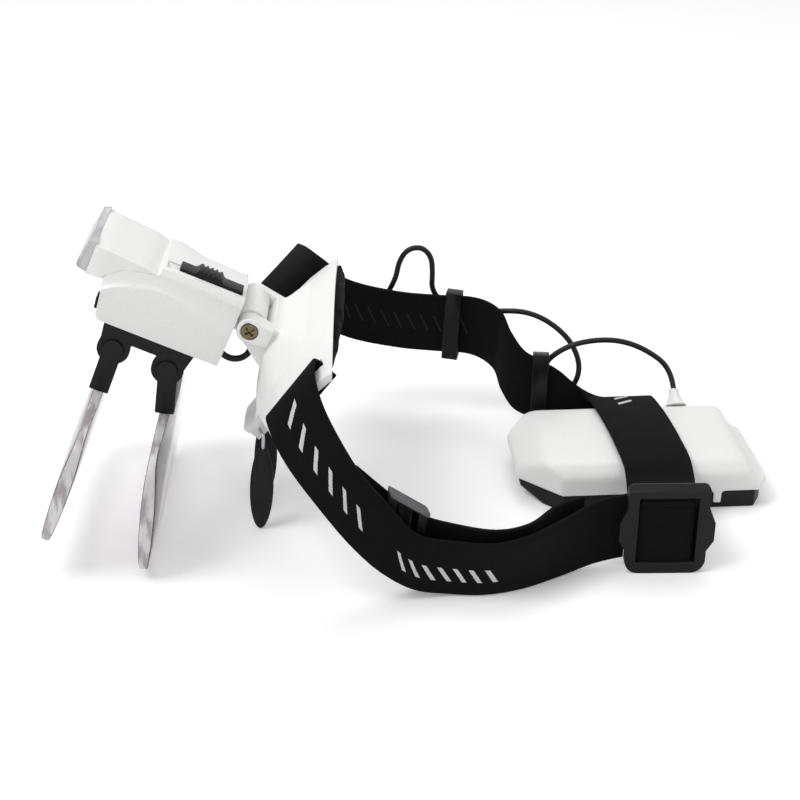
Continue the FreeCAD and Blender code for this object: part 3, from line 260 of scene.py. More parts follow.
def woven_elastic(name, colour, thread_mm, marks=()):
    """Black woven elastic: lengthwise ribs crossed by weft picks, with a matt nap."""
    material, tree, shader = new_material(name, {
        "IOR": 1.5, "Roughness": 0.9, "Sheen Weight": 0.05, "Sheen Roughness": 0.4,
        "Specular IOR Level": 0.12, "Sheen Tint": linear("#8C8C90")})
    uv = add_node(tree, "ShaderNodeTexCoord").outputs["UV"]
    turn = add_node(tree, "ShaderNodeMapping", None, {"Scale": (1000.0, 1000.0, 1000.0)},
                    {"Vector": uv})
    # the band's UV is in metres, so the mapping gives millimetres and the waves are thread pitch
    ribs = add_node(tree, "ShaderNodeTexWave", {"bands_direction": "Y", "wave_profile": "SIN"},
                    {"Scale": WAVE_PITCH / thread_mm, "Distortion": 0.0},
                    {"Vector": turn.outputs[0]})
    picks = add_node(tree, "ShaderNodeTexWave", {"bands_direction": "X", "wave_profile": "SIN"},
                     {"Scale": WAVE_PITCH / (thread_mm * 0.62), "Distortion": 0.7,
                      "Detail": 1.0, "Detail Scale": 2.0}, {"Vector": turn.outputs[0]})
    crossed = maths(tree, "MULTIPLY", ribs.outputs["Fac"], picks.outputs["Fac"])
    fuzz = add_node(tree, "ShaderNodeTexNoise", None, {"Scale": 3.4, "Detail": 4.0},
                    {"Vector": turn.outputs[0]})
    bump = add_node(tree, "ShaderNodeBump", None, {"Strength": 0.55, "Distance": 0.00022},
                    {"Height": maths(tree, "ADD", crossed, fuzz.outputs["Fac"])})
    tree.links.new(bump.outputs["Normal"], shader.inputs["Normal"])
    shade_between(tree, shader, crossed, linear(colour), linear("#161618"), (0.1, 0.9))
    woven_marks(tree, shader, turn.outputs[0], marks)
    return material


def knitted_foam(colour):
    """A soft pad of foam under a knitted cover: matt, with a fine loop texture."""
    return grained("knitted foam cover", {
        "Roughness": 0.93, "Sheen Weight": 0.05, "Sheen Roughness": 0.5,
        "Specular IOR Level": 0.12, "Sheen Tint": linear("#77777B")},
        (1500.0, 0.5, 0.0003), colour, "#161618", detail=2.0)


def soft_rubber(name, colour, rough):
    """Soft moulded elastomer: dark and matt with a faint skin grain."""
    return grained(name, {"IOR": 1.5, "Specular IOR Level": 0.25}, (1200.0, 0.15, 0.00015),
                   colour, "#17171A", (60.0, rough - 0.06, rough + 0.06))


def drawn_metal(name, colour, rough):
    """Drawn or turned metal: fine stretched scratches vary its gloss."""
    material, tree, shader = new_material(name, {"Metallic": 1.0, "Base Color": linear(colour)})
    where = add_node(tree, "ShaderNodeTexCoord").outputs["Object"]
    vary_roughness(tree, shader, where, 1400.0, rough - 0.06, rough + 0.10)
    return material


def printed_sleeve(colour):
    """The shrink sleeve of a dry cell, plain and glossy."""
    return grained("cell sleeve", {"Roughness": 0.3, "IOR": 1.5}, (220.0, 0.03, 0.0001),
                   colour, "#3C3C40")


def varnished_board():
    """Green solder resist with slight mottling."""
    return grained("varnished board", {"Roughness": 0.35, "IOR": 1.5}, (600.0, 0.05, 0.0001),
                   "#1F5A34", "#2B7042")


# the finishes that the pieces ask for, filled by make_finishes
finishes = {}


def make_finishes(colours):
    """All finishes of the part, under the names that the pieces ask for."""
    finishes.update({
        "white": moulded_white_abs(colours.shell_colour),
        "black": moulded_black_abs("moulded black ABS", colours.fitting_colour, "#111112", 0.42,
                                   0.28),
        "gloss": moulded_black_abs("polished black ABS", colours.fitting_colour, "#0F0F10", 0.22,
                                   0.06),
        # painted highlight: this grey stands in for the glare on the adjuster's black ribbed grip
        "grip": moulded_black_abs("ribbed grip with painted grey glare", "#58585A", "#77777A", 0.5, 0.2),
        "lens": polished_acrylic("polished lens acrylic", "#F1EDF0", 0.015),
        # the lens edge's and the lamp window's streaks are painted highlights and shade over the
        # acrylic's own tint
        "lens_edge": acrylic_with_painted_streaks("lens edge with painted streaks", "#B5ADB3", "#F4F1F3", 0.2, 0.4),
        # painted shade: a dark grey for the lower ends of the clear lens, where it looks dark
        "lens_end_shade": acrylic_with_painted_streaks("painted shade at the lens ends", "#4E4A4D", "#77727A", 0.4, 0.25),
        "lamp_window": acrylic_with_painted_streaks("clear lamp window", "#D9D6DA", "#F4F3F5", 0.16, 0.62),
        "webbing": woven_elastic("woven elastic", colours.band_colour, 0.95),
        "marked": woven_elastic("marked woven elastic", colours.band_colour, 0.95, NEAR_MARKS),
        "far_marked": woven_elastic("far woven elastic", colours.band_colour, 0.95, FAR_MARKS),
        "foam": knitted_foam("#0C0C0E"),
        "soft": soft_rubber("soft nose rubber", "#0E0E10", 0.6),
        "jacket": soft_rubber("lead jacket", "#141415", 0.42),
        "steel": drawn_metal("stainless wire", "#B9BCC0", 0.28),
        "zinc": drawn_metal("bronzed screw", "#7A6E52", 0.34),
        "mirror": drawn_metal("metallised reflector", "#D9DCDF", 0.14),
        "sleeve": printed_sleeve("#2C2C30"),
        "board": varnished_board(),
        "lamp": polished_acrylic("clear lamp body", "#FFF6D8", 0.05),
    })


# ---------------------------------------------------------------- modelling helpers

def take(obj):
    """Select one object alone and make it active."""
    bpy.ops.object.select_all(action="DESELECT")
    obj.hide_set(False)
    obj.select_set(True)
    bpy.context.view_layer.objects.active = obj


def modify(obj, kind, **settings):
    """Add a modifier and apply it."""
    take(obj)
    modifier = obj.modifiers.new(kind.title(), kind)
    for key, value in settings.items():
        setattr(modifier, key, value)
    bpy.ops.object.modifier_apply(modifier=modifier.name)


def dress(obj, finish, body):
    """Give a finished piece its finish and the body that carries it."""
    obj.data.materials.clear()
    obj.data.materials.append(finishes[finish])
    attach(obj, body)
    return obj


def sub_frame(x, z, lean, y=0.0):
    """The frame of a sub-assembly: a point of the drawing, leaned about Y."""
    return Matrix.Translation(place(x, y, z)) @ Matrix.Rotation(math.radians(lean), 4, "Y")


VISOR = sub_frame(-51.1, 81.2, 24.3)
BROW = sub_frame(-35.0, 70.0, 42.2)


def select_none(mesh):
    """Clear the selection that edit mode would start with."""
    for group in (mesh.vertices, mesh.edges, mesh.polygons):
        group.foreach_set("select", [False] * len(group))


def select_where(obj, kind, test):
    """Go to edit mode with the vertices, edges or faces selected whose place passes a test.

    A vertex is tested by its place, an edge by its middle and its direction, a face by its
    middle and its normal, all in millimetres of the piece's own frame.
    """
    take(obj)
    mesh = obj.data
    bpy.context.tool_settings.mesh_select_mode = (kind == "VERT", kind == "EDGE", kind == "FACE")
    select_none(mesh)
    if kind == "VERT":
        for vertex in mesh.vertices:
            vertex.select = test(vertex.co / MM)
    elif kind == "EDGE":
        for edge in mesh.edges:
            a, b = (mesh.vertices[i].co / MM for i in edge.vertices)
            edge.select = (b - a).length > 0 and test((a + b) / 2, (b - a).normalized())
    else:
        for face in mesh.polygons:
            face.select = test(face.center / MM, face.normal)
    bpy.ops.object.mode_set(mode="EDIT")


def leave_edit():
    bpy.ops.object.mode_set(mode="OBJECT")


def slice_at(obj, axis, places):
    """Cut extra edge lines through the whole piece, square to one axis."""
    normal = [0.0, 0.0, 0.0]
    normal["xyz".index(axis)] = 1.0
    for value in places:
        select_where(obj, "FACE", lambda middle, way: True)
        bpy.ops.mesh.bisect(plane_co=[n * value * MM for n in normal], plane_no=normal)
        leave_edit()


def press(obj, test, shift):
    """Move the vertices that pass a test, each by its own shift in millimetres."""
    groups = {}
    for vertex in obj.data.vertices:
        at = vertex.co / MM
        if test(at):
            step = shift(at)
            key = tuple(round(c * 50) for c in step)
            if any(key):
                groups.setdefault(key, set()).add(vertex.index)
    for key, members in groups.items():
        take(obj)
        bpy.context.tool_settings.mesh_select_mode = (True, False, False)
        select_none(obj.data)
        for index in members:
            obj.data.vertices[index].select = True
        bpy.ops.object.mode_set(mode="EDIT")
        bpy.ops.transform.translate(value=[c / 50 * MM for c in key])
        leave_edit()


def round_edges(obj, width_mm, segments, test):
    """Round the edges that pass a test."""
    select_where(obj, "EDGE", test)
    bpy.ops.mesh.bevel(offset=width_mm * MM, segments=segments, profile=0.5, affect="EDGES",
                       clamp_overlap=True)
    leave_edit()


def soften(obj, edge_mm, segments=3, angle=32, smooth=38):
    """Round what sharp edges are left, and shade the piece smooth between its creases."""
    modify(obj, "BEVEL", width=edge_mm * MM, segments=segments, limit_method="ANGLE",
           angle_limit=math.radians(angle), use_clamp_overlap=True, miter_outer="MITER_ARC")
    take(obj)
    bpy.ops.object.shade_smooth_by_angle(angle=math.radians(smooth))
    return obj


# solids come in as triangles: points this close, in metres, are one, and faces within this
# many degrees are one face
WELD, FLAT = 0.000002, 0.6


def copy_of(name, node, home=None):
    """A merged copy of a solid, brought into the frame of its sub-assembly."""
    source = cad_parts[node]
    obj = bpy.data.objects.new(name, source.data.copy())
    bpy.context.collection.objects.link(obj)
    if home:
        obj.data.transform(home.inverted())
    take(obj)
    bpy.ops.object.mode_set(mode="EDIT")
    bpy.ops.mesh.select_all(action="SELECT")
    bpy.ops.mesh.remove_doubles(threshold=WELD)
    bpy.ops.mesh.dissolve_limited(angle_limit=math.radians(FLAT))
    leave_edit()
    return obj


def seat(obj, home):
    """Put a piece that was shaped in its sub-assembly's frame where it belongs."""
    take(obj)
    obj.matrix_world = home
    bpy.ops.object.transform_apply(location=True, rotation=True, scale=True)
    return obj


def drawn_prism(name, outline, side_mm, width_mm):
    """A prism across Y from a drawn outline of x and z, one corner moved at a time."""
    bpy.ops.object.select_all(action="DESELECT")
    bpy.ops.mesh.primitive_circle_add(vertices=len(outline), radius=0.01, fill_type="NGON",
                                      rotation=(math.radians(90), 0, 0))
    obj = bpy.context.active_object
    obj.name = name
    bpy.ops.object.transform_apply(location=True, rotation=True, scale=True)
    starts = [vertex.co.copy() for vertex in obj.data.vertices]
    for index, (x, z) in enumerate(outline):
        goal = Vector((x, side_mm - width_mm / 2, z)) * MM
        select_where(obj, "VERT", lambda at: (at - starts[index] / MM).length < 0.0001)
        bpy.ops.transform.translate(value=goal - starts[index])
        leave_edit()
        starts[index] = goal
    select_where(obj, "FACE", lambda middle, way: True)
    bpy.ops.mesh.extrude_region_move(TRANSFORM_OT_translate={"value": (0, width_mm * MM, 0)})
    bpy.ops.mesh.select_all(action="SELECT")
    bpy.ops.mesh.normals_make_consistent(inside=False)
    leave_edit()
    return obj


def block(name, centre, size):
    """A box to be shaped further, its middle and size in millimetres."""
    bpy.ops.object.select_all(action="DESELECT")
    bpy.ops.mesh.primitive_cube_add(size=1.0, location=Vector(centre) * MM)
    obj = bpy.context.active_object
    obj.name = name
    bpy.ops.transform.resize(value=Vector(size) * MM)
    bpy.ops.object.transform_apply(location=True, rotation=True, scale=True)
    return obj


def cylinder(name, centre, radius, length, axis="y", sides=32):
    """A turned disc or pin to be shaped further, its middle at a point in millimetres."""
    bpy.ops.object.select_all(action="DESELECT")
    turn = {"x": (0, math.radians(90), 0), "y": (math.radians(90), 0, 0), "z": (0, 0, 0)}[axis]
    bpy.ops.mesh.primitive_cylinder_add(vertices=sides, radius=radius * MM, depth=length * MM,
                                        location=Vector(centre) * MM, rotation=turn)
    obj = bpy.context.active_object
    obj.name = name
    bpy.ops.object.transform_apply(location=True, rotation=True, scale=True)
    return obj


def carve(obj, tools):
    """Cut tools out of a piece and throw them away."""
    for tool in tools:
        modify(obj, "BOOLEAN", operation="DIFFERENCE", object=tool, solver="EXACT")
        bpy.data.objects.remove(tool, do_unlink=True)
    return obj


def along(places, at):
    """The height of a drawn line at a place: pairs of place and height, joined straight."""
    for (a, low), (b, high) in zip(places, places[1:]):
        if at <= b:
            return low + (high - low) * max(0.0, (at - a) / (b - a))
    return places[-1][1]


def join(name, pieces):
    """Join finished pieces into one object."""
    bpy.ops.object.select_all(action="DESELECT")
    for piece in pieces:
        piece.select_set(True)
    bpy.context.view_layer.objects.active = pieces[0]
    bpy.ops.object.join()
    pieces[0].name = name
    return pieces[0]


def smooth_stations(stations, steps):
    """Pass a smooth line through each edge of a band and give closer stations."""
    def through(points, i, t):
        p = [points[min(max(i + k, 0), len(points) - 1)] for k in (-1, 0, 1, 2)]
        return 0.5 * ((2 * p[1]) + (p[2] - p[0]) * t
                      + (2 * p[0] - 5 * p[1] + 4 * p[2] - p[3]) * t ** 2
                      + (3 * p[1] - p[0] - 3 * p[2] + p[3]) * t ** 3)
    low = [place(*a) for a, b in stations]
    high = [place(*b) for a, b in stations]
    found = []
    for i in range(len(stations) - 1):
        for k in range(steps):
            found.append((through(low, i, k / steps), through(high, i, k / steps)))
    found.append((low[-1], high[-1]))
    return found


def woven_band(name, stations, node, thickness_mm, finish="webbing", steps=6, across=6):
    """A flat elastic band through its stations, with its thickness and turned edges."""
    line = smooth_stations(stations, steps)
    columns = len(line)
    bpy.ops.object.select_all(action="DESELECT")
    bpy.ops.mesh.primitive_grid_add(x_subdivisions=columns - 1, y_subdivisions=across, size=1.0)
    obj = bpy.context.active_object
    obj.name = name
    travelled = [0.0]
    for (a, b), (c, d) in zip(line, line[1:]):
        travelled.append(travelled[-1] + ((c + d) / 2 - (a + b) / 2).length)
    width = (line[0][1] - line[0][0]).length
    rows = {}
    for vertex in obj.data.vertices:
        i = round((vertex.co.x + 0.5) * (columns - 1))
        share = vertex.co.y + 0.5
        rows[vertex.index] = (i, share)
        low, high = line[i]
        vertex.co = low.lerp(high, share)
    layer = obj.data.uv_layers.active.data
    for loop in obj.data.loops:
        i, share = rows[loop.vertex_index]
        layer[loop.index].uv = (travelled[i], share * width)
    modify(obj, "SOLIDIFY", thickness=thickness_mm * MM, offset=0.0, use_even_offset=False)
    modify(obj, "BEVEL", width=0.35 * MM, segments=2, limit_method="ANGLE",
           angle_limit=math.radians(50))
    take(obj)
    bpy.ops.object.shade_smooth_by_angle(angle=math.radians(45))
    dress(obj, finish, "headband")
    if node:
        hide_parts(node)
    return obj


def round_lead(context, name, places, radius):
    """A round lead in its jacket, on one smooth line that its places pull into shape."""
    data = bpy.data.curves.new(name, "CURVE")
    data.dimensions = "3D"
    data.bevel_depth = radius
    data.bevel_resolution = 4
    data.use_fill_caps = True
    spline = data.splines.new("NURBS")
    spline.points.add(len(places) - 1)
    for point, at in zip(spline.points, places):
        point.co = (*at, 1.0)
    spline.order_u = 3
    spline.use_endpoint_u = True
    obj = bpy.data.objects.new(name, data)
    context.collection.objects.link(obj)
    data.materials.append(finishes["jacket"])
    return obj


# ---------------------------------------------------------------- settings

class VisorColours(bpy.types.PropertyGroup):
    """Colours that a user would change."""
    shell_colour: bpy.props.StringProperty(
        name="Shell", description="Hex colour of the white mouldings", default="#E9E9E8")
    fitting_colour: bpy.props.StringProperty(
        name="Fittings", description="Hex colour of the black mouldings", default="#08080A")
    band_colour: bpy.props.StringProperty(
        name="Band", description="Hex colour of the elastic band", default="#08080A")


class VisorSizes(bpy.types.PropertyGroup):
    """Sizes that a user would change."""
    band_thickness: bpy.props.FloatProperty(
        name="Band thickness", description="Thickness of the elastic, millimetres",
        default=1.4, min=0.6, max=3.0)
    camera_lens: bpy.props.FloatProperty(
        name="Camera lens", description="Focal length of the view", default=69.75, min=20.0,
        subtype="DISTANCE_CAMERA")


# ---------------------------------------------------------------- stage

# where the photograph was taken from and what it was aimed at, in metres
CAMERA_AT = (-0.01396, -0.5066, 0.2991)
CAMERA_AIM = (-0.00655, -0.01255, 0.0463)
# what the floor shines into the view, and how bright the white sky is as light on the object
FLOOR_GLOW, SKY_LIGHT = 0.16, 0.46
# each soft lamp: its name, place and side in metres, and power in watts
LAMPS = [("key_lamp", (-0.75, -0.35, 1.3), 0.7, 10.0), ("fill_lamp", (0.9, -0.8, 0.8), 1.1, 1.6),
         ("top_lamp", (0.1, 0.5, 1.4), 0.8, 4.5)]


class VISOR_OT_stage(bpy.types.Operator):
    """Pale floor, plain soft lamps and the camera at the photograph's angle"""
    bl_idname = "visor.stage"
    bl_label = "Stage"

    def execute(self, context):
        scene = context.scene
        bpy.ops.object.select_all(action="DESELECT")
        bpy.ops.mesh.primitive_plane_add(size=6.0, location=(0, 0, 0))
        floor = context.active_object
        floor.name = "pale_floor"
        material = bpy.data.materials.new("pale floor")
        material.use_nodes = True
        tree = material.node_tree
        shader = tree.nodes["Principled BSDF"]
        shader.inputs["Base Color"].default_value = linear("#FFFFFF")
        shader.inputs["Roughness"].default_value = 0.9
        # a little light of its own, for the view alone, keeps it white out to its corners
        seen = add_node(tree, "ShaderNodeLightPath").outputs["Is Camera Ray"]
        glow = maths(tree, "MULTIPLY", seen, FLOOR_GLOW)
        shader.inputs["Emission Color"].default_value = linear("#FFFFFF")
        tree.links.new(glow, shader.inputs["Emission Strength"])
        floor.data.materials.append(material)

        world = bpy.data.worlds.new("plain studio")
        scene.world = world
        world.use_nodes = True
        sky = world.node_tree
        sky.nodes["Background"].inputs["Color"].default_value = linear("#FFFFFF")
        # the view, metal and glass see plain white, while the object is lit more softly
        rays = add_node(sky, "ShaderNodeLightPath").outputs
        seen = rays["Is Camera Ray"]
        for kind in ("Is Glossy Ray", "Is Transmission Ray"):
            seen = maths(sky, "MAXIMUM", seen, rays[kind])
        level = add_node(sky, "ShaderNodeMapRange", None, {"To Min": SKY_LIGHT, "To Max": 1.0},
                         {"Value": seen})
        sky.links.new(level.outputs["Result"], sky.nodes["Background"].inputs["Strength"])

        for name, spot, size, power in LAMPS:
            light = bpy.data.lights.new(name, "AREA")
            light.size, light.energy = size, power
            lamp = bpy.data.objects.new(name, light)
            lamp.location = spot
            lamp.rotation_euler = (-Vector(spot)).to_track_quat("-Z", "Y").to_euler()
            context.collection.objects.link(lamp)

        camera = bpy.data.objects.new("camera", bpy.data.cameras.new("camera"))
        camera.data.lens = scene.visor_sizes.camera_lens
        camera.data.sensor_width = 36.0
        camera.data.clip_start = 0.01
        camera.location = Vector(CAMERA_AT)
        aim = Vector(CAMERA_AIM) - camera.location
        camera.rotation_euler = aim.to_track_quat("-Z", "Y").to_euler()
        context.collection.objects.link(camera)
        scene.camera = camera
        scene.view_settings.view_transform = "Standard"
        return {"FINISHED"}


class VISOR_OT_lead(bpy.types.Operator):
    """The thin lead from the band to the cell box, on one smooth line"""
    bl_idname = "visor.lead"
    bl_label = "Lead"

    def execute(self, context):
        obj = round_lead(context, "lead", [place(*at) for at in LEAD_ROUTE], LEAD_DIAMETER / 2)
        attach(obj, "headband")
        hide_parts("cable")
        return {"FINISHED"}


class VISOR_OT_bands(bpy.types.Operator):
    """The elastic band's three lengths of webbing"""
    bl_idname = "visor.bands"
    bl_label = "Bands"

    def execute(self, context):
        thick = context.scene.visor_sizes.band_thickness
        woven_band("near_band", NEAR_BAND, "strap_near", thick, "marked")
        woven_band("inner_band", INNER_BAND, "strap_near_inner", thick)
        woven_band("far_band", FAR_BAND, "strap_far", thick, "far_marked")
        return {"FINISHED"}


# ---------------------------------------------------------------- visor housing

# where the side panel's curved top edge runs, and where the shoulder above it ends
PANEL_TOP = [(-51.5, -5.5), (-49.2, -3.3), (-43.0, -0.1), (-34.9, 2.0), (-28.2, 2.2),
             (-22.0, 1.1), (-16.0, -0.4), (-5.4, -3.8)]
SHOULDER_TOP = [(-51.5, -0.8), (-50.8, 1.0), (-45.9, 4.2), (-38.0, 6.2), (-33.9, 6.9),
                (-28.0, 6.9), (-18.0, 7.2), (-5.4, 7.6)]
# how far the far shoulder stays below the near one
FAR_LOWER = [(-51.5, 0.0), (-34.0, 2.0), (-22.0, 2.6), (-5.4, 3.8)]
# the shoulder's distance from the middle as it climbs: it leans in front, and is fluted behind
LEAN = [(0.0, 18.9), (0.15, 18.0), (0.3, 17.6), (0.6, 17.2), (1.0, 16.9)]
FLUTE = [(0.0, 19.1), (0.15, 18.1), (0.3, 17.5), (0.45, 17.2), (0.6, 16.8), (0.74, 16.7),
         (0.85, 17.0), (1.0, 17.7)]


def shoulder_top(at):
    """Where the shoulder meets the wall above it, on the near side and on the lower far side."""
    return along(SHOULDER_TOP, at.x) - (along(FAR_LOWER, at.x) if at.y > 0 else 0.0)


def crowned(at, far_drop):
    """How far the cover's top lies below its flat mould line."""
    side = abs(at.y) / 17.0
    if at.y > 0:
        return -far_drop * side ** 1.6
    # the narrow strip beside the switch stands up and rounds over at its edge
    strip = 0.9 if at.y < -13.9 else 0.0
    return strip - 2.4 * max(0.0, (abs(at.y) - 15.5) / 1.5)


class VISOR_OT_housing(bpy.types.Operator):
    """Lamp head, switch cover and skirt with its arc-topped side panels"""
    bl_idname = "visor.housing"
    bl_label = "Housing"

    def execute(self, context):
        self.lamp_head()
        self.cover()
        self.skirt()
        self.window()
        return {"FINISHED"}

    def lamp_head(self):
        obj = copy_of("lamp_head", "lamp_hood", VISOR)
        slice_at(obj, "y", (-14.5, -9.5, -4.0, 4.0, 9.5, 14.5))
        slice_at(obj, "x", (-52.0, -47.0, -42.5, -40.0, -38.0, -36.2))
        slice_at(obj, "z", (2.4, 3.2))
        # the side steps in under the shoulder that hides it
        press(obj, lambda at: abs(at.y) > 15.0 and 2.3 < at.z < 3.3,
              lambda at: (0.0, 0.0, 1.25 * (at.z - 3.2) + shoulder_top(at) + 0.15 - at.z))
        press(obj, lambda at: abs(at.y) > 15.0 and at.z < shoulder_top(at) - 0.5
              and at.x > -51.0, lambda at: (0.0, -math.copysign(1.5, at.y), 0.0))

        def shape(at):
            rise = 1.1 * max(0.0, (-43.0 - at.x) / 15.0)
            fall = -1.7 * max(0.0, (at.x + 41.0) / 6.5) ** 1.7
            side = -0.6 * max(0.0, (at.x + 41.0) / 6.5) ** 2 * at.y / 17.0
            return (0.0, side, rise + fall - 1.5 * (abs(at.y) / 17.0) ** 3)
        press(obj, lambda at: at.z > 7.0, shape)
        round_edges(obj, 1.5, 4, lambda m, way: abs(m.y) > 15.8 and m.z > 5.0 and abs(way.x) > 0.8)
        soften(obj, 0.45)
        seat(dress(obj, "white", "visor"), VISOR)
        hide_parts("lamp_hood")

    def cover(self):
        obj = copy_of("visor_cover", "upper_housing", VISOR)
        slice_at(obj, "y", (-15.8, -4.0, 1.5, 6.0, 10.0, 14.0))
        slice_at(obj, "x", (-30.5, -27.0, -22.0, -16.0, -10.0))
        slice_at(obj, "z", (5.8, 6.6))
        press(obj, lambda at: abs(at.y) > 15.0 and 5.7 < at.z < 6.7,
              lambda at: (0.0, 0.0, 1.25 * (at.z - 6.6) + shoulder_top(at) + 0.15 - at.z))
        press(obj, lambda at: abs(at.y) > 15.0 and at.z < shoulder_top(at) - 0.5,
              lambda at: (0.0, -math.copysign(2.5, at.y), 0.0))
        drop = [(-34.2, 1.7), (-30.0, 1.7), (-22.0, 3.7), (-14.0, 4.0), (-5.4, 4.4)]

        def shape(at):
            ends = -0.35 * max(0.0, (-31.5 - at.x) / 3.0) ** 2
            return (0.0, 0.0, crowned(at, along(drop, at.x)) + ends)
        press(obj, lambda at: at.z > 7.0, shape)
        press(obj, lambda at: at.x < -34.0, lambda at: (-0.5, 0.0, 0.0))
        round_edges(obj, 1.0, 3, lambda m, way: abs(m.y) > 15.8 and m.z > 3.5 and abs(way.x) > 0.8)
        soften(obj, 0.4)
        floor = drawn_prism("slot_floor", [(-34.0, 7.3), (-5.8, 7.3), (-5.8, 8.6), (-34.0, 8.6)],
                            -10.6, 7.6)
        soften(floor, 0.1)
        obj = join("visor_cover", [obj, floor])
        seat(dress(obj, "white", "visor"), VISOR)
        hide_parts("upper_housing")

    def skirt(self):
        obj = copy_of("visor_skirt", "lower_housing", VISOR)
        slice_at(obj, "y", (-16.4, 16.4))
        select_where(obj, "FACE", lambda m, way: way.z > 0.9 and abs(m.z) < 0.1
                     and abs(m.y) > 16.5)
        bpy.ops.mesh.extrude_region_move(TRANSFORM_OT_translate={"value": (0, 0, 7.6 * MM)})
        leave_edit()
        round_edges(obj, 2.2, 5, lambda m, way: m.x < -45.0 and m.z < -12.0 and abs(way.y) > 0.9)
        slice_at(obj, "z", (-6.0, -1.0, 0.3, 1.6, 2.9, 4.2, 5.4, 6.3))
        slice_at(obj, "x", (-50.4, -48.0, -45.0, -42.0, -38.5, -35.0, -31.5, -28.0, -24.0,
                            -20.0, -16.0, -12.0, -8.5))

        def shape(at):
            share = min(1.0, max(0.0, (at.z + 1.0) / 8.6))
            low, high = along(PANEL_TOP, at.x), shoulder_top(at)
            flare = min(1.0, max(0.0, (at.x + 27.0) / 21.6))
            side = along(LEAN, share) * (1 - flare) + along(FLUTE, share) * flare
            # the inner face keeps its distance from the outer one
            side -= 1.6 if abs(at.y) < 17.2 else 0.0
            return (0.0, math.copysign(side, at.y) - at.y, low + share * (high - low) - at.z)
        press(obj, lambda at: abs(at.y) > 16.3 and at.z > -1.05, shape)
        press(obj, lambda at: abs(at.y) > 17.9 and -6.1 < at.z < -5.9,
              lambda at: (0.0, math.copysign(0.45, at.y), 0.0))
        round_edges(obj, 0.35, 2, lambda m, way: abs(m.y) > 17.9 and abs(way.x) > 0.75
                    and abs(m.z - along(PANEL_TOP, m.x)) < 0.25)
        soften(obj, 0.6, angle=40)
        seat(dress(obj, "white", "visor"), VISOR)
        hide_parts("lower_housing")

    def window(self):
        obj = copy_of("lamp_window", "lamp_lens", VISOR)
        slice_at(obj, "z", (1.5, 5.0))

        def shape(at):
            share = (at.z + 2.0) / 11.2
            return ((-1.0 + 2.0 * share) if at.x < -58.0 else 0.0, 0.0, 0.9 * share)
        press(obj, lambda at: True, shape)
        round_edges(obj, 1.1, 3, lambda m, way: m.x < -58.5 and abs(m.y) > 16.0)
        round_edges(obj, 1.6, 4, lambda m, way: m.x < -59.0 and m.z < 0.0 and abs(way.y) > 0.9)
        soften(obj, 0.5)
        seat(dress(obj, "lamp_window", "visor"), VISOR)
        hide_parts("lamp_lens")


class VISOR_OT_slider(bpy.types.Operator):
    """The sliding switch: a flat bar with a bump of rounded teeth"""
    bl_idname = "visor.slider"
    bl_label = "Slider"

    def execute(self, context):
        front, low, top = -29.2, 8.7, 11.1
        outline = [(0.0, low), (22.2, low), (22.2, top), (15.4, top), (14.6, top + 0.5),
                   (14.0, top + 1.5), (13.4, top + 1.75)]
        for tooth in range(4):
            start = 12.9 - tooth * 1.65
            outline += [(start, top + 1.15), (start - 0.5, top + 1.1), (start - 0.85, top + 1.8),
                        (start - 1.3, top + 1.85)]
        outline += [(6.0, top + 1.4), (5.5, top + 0.6), (4.8, top), (0.0, top)]
        outline = [(front + x, z) for x, z in outline]
        obj = drawn_prism("slide_knob", outline, -10.6, 6.4)
        soften(obj, 0.22, segments=2, angle=20, smooth=50)
        seat(dress(obj, "black", "switch"), VISOR)
        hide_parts("switch_knob")
        return {"FINISHED"}


# ---------------------------------------------------------------- lens bracket, lenses, hinge

class VISOR_OT_bracket(bpy.types.Operator):
    """The lens bracket with a raised rim round its cheeks"""
    bl_idname = "visor.bracket"
    bl_label = "Bracket"

    def execute(self, context):
        obj = copy_of("lens_bracket", "lens_holder", VISOR)
        select_where(obj, "FACE", lambda m, way: abs(way.y) > 0.99 and abs(m.y) > 16.3)
        bpy.ops.mesh.inset(thickness=1.1 * MM, depth=-0.35 * MM, use_boundary=True,
                           use_even_offset=True)
        leave_edit()
        soften(obj, 0.2, segments=2)
        seat(dress(obj, "black", "visor"), VISOR)
        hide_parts("lens_holder")

        plate = copy_of("bracket_plate", "front_plate", VISOR)
        press(plate, lambda at: at.z > -6.0, lambda at: (-0.3, 0.0, 2.5))
        soften(plate, 0.4)
        seat(dress(plate, "black", "visor"), VISOR)
        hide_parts("front_plate")
        return {"FINISHED"}


# below the arm's pivot, in millimetres
LENS_TOP, LENS_HEIGHT, LENS_WIDTH = -19.1, 46.0, 95.0


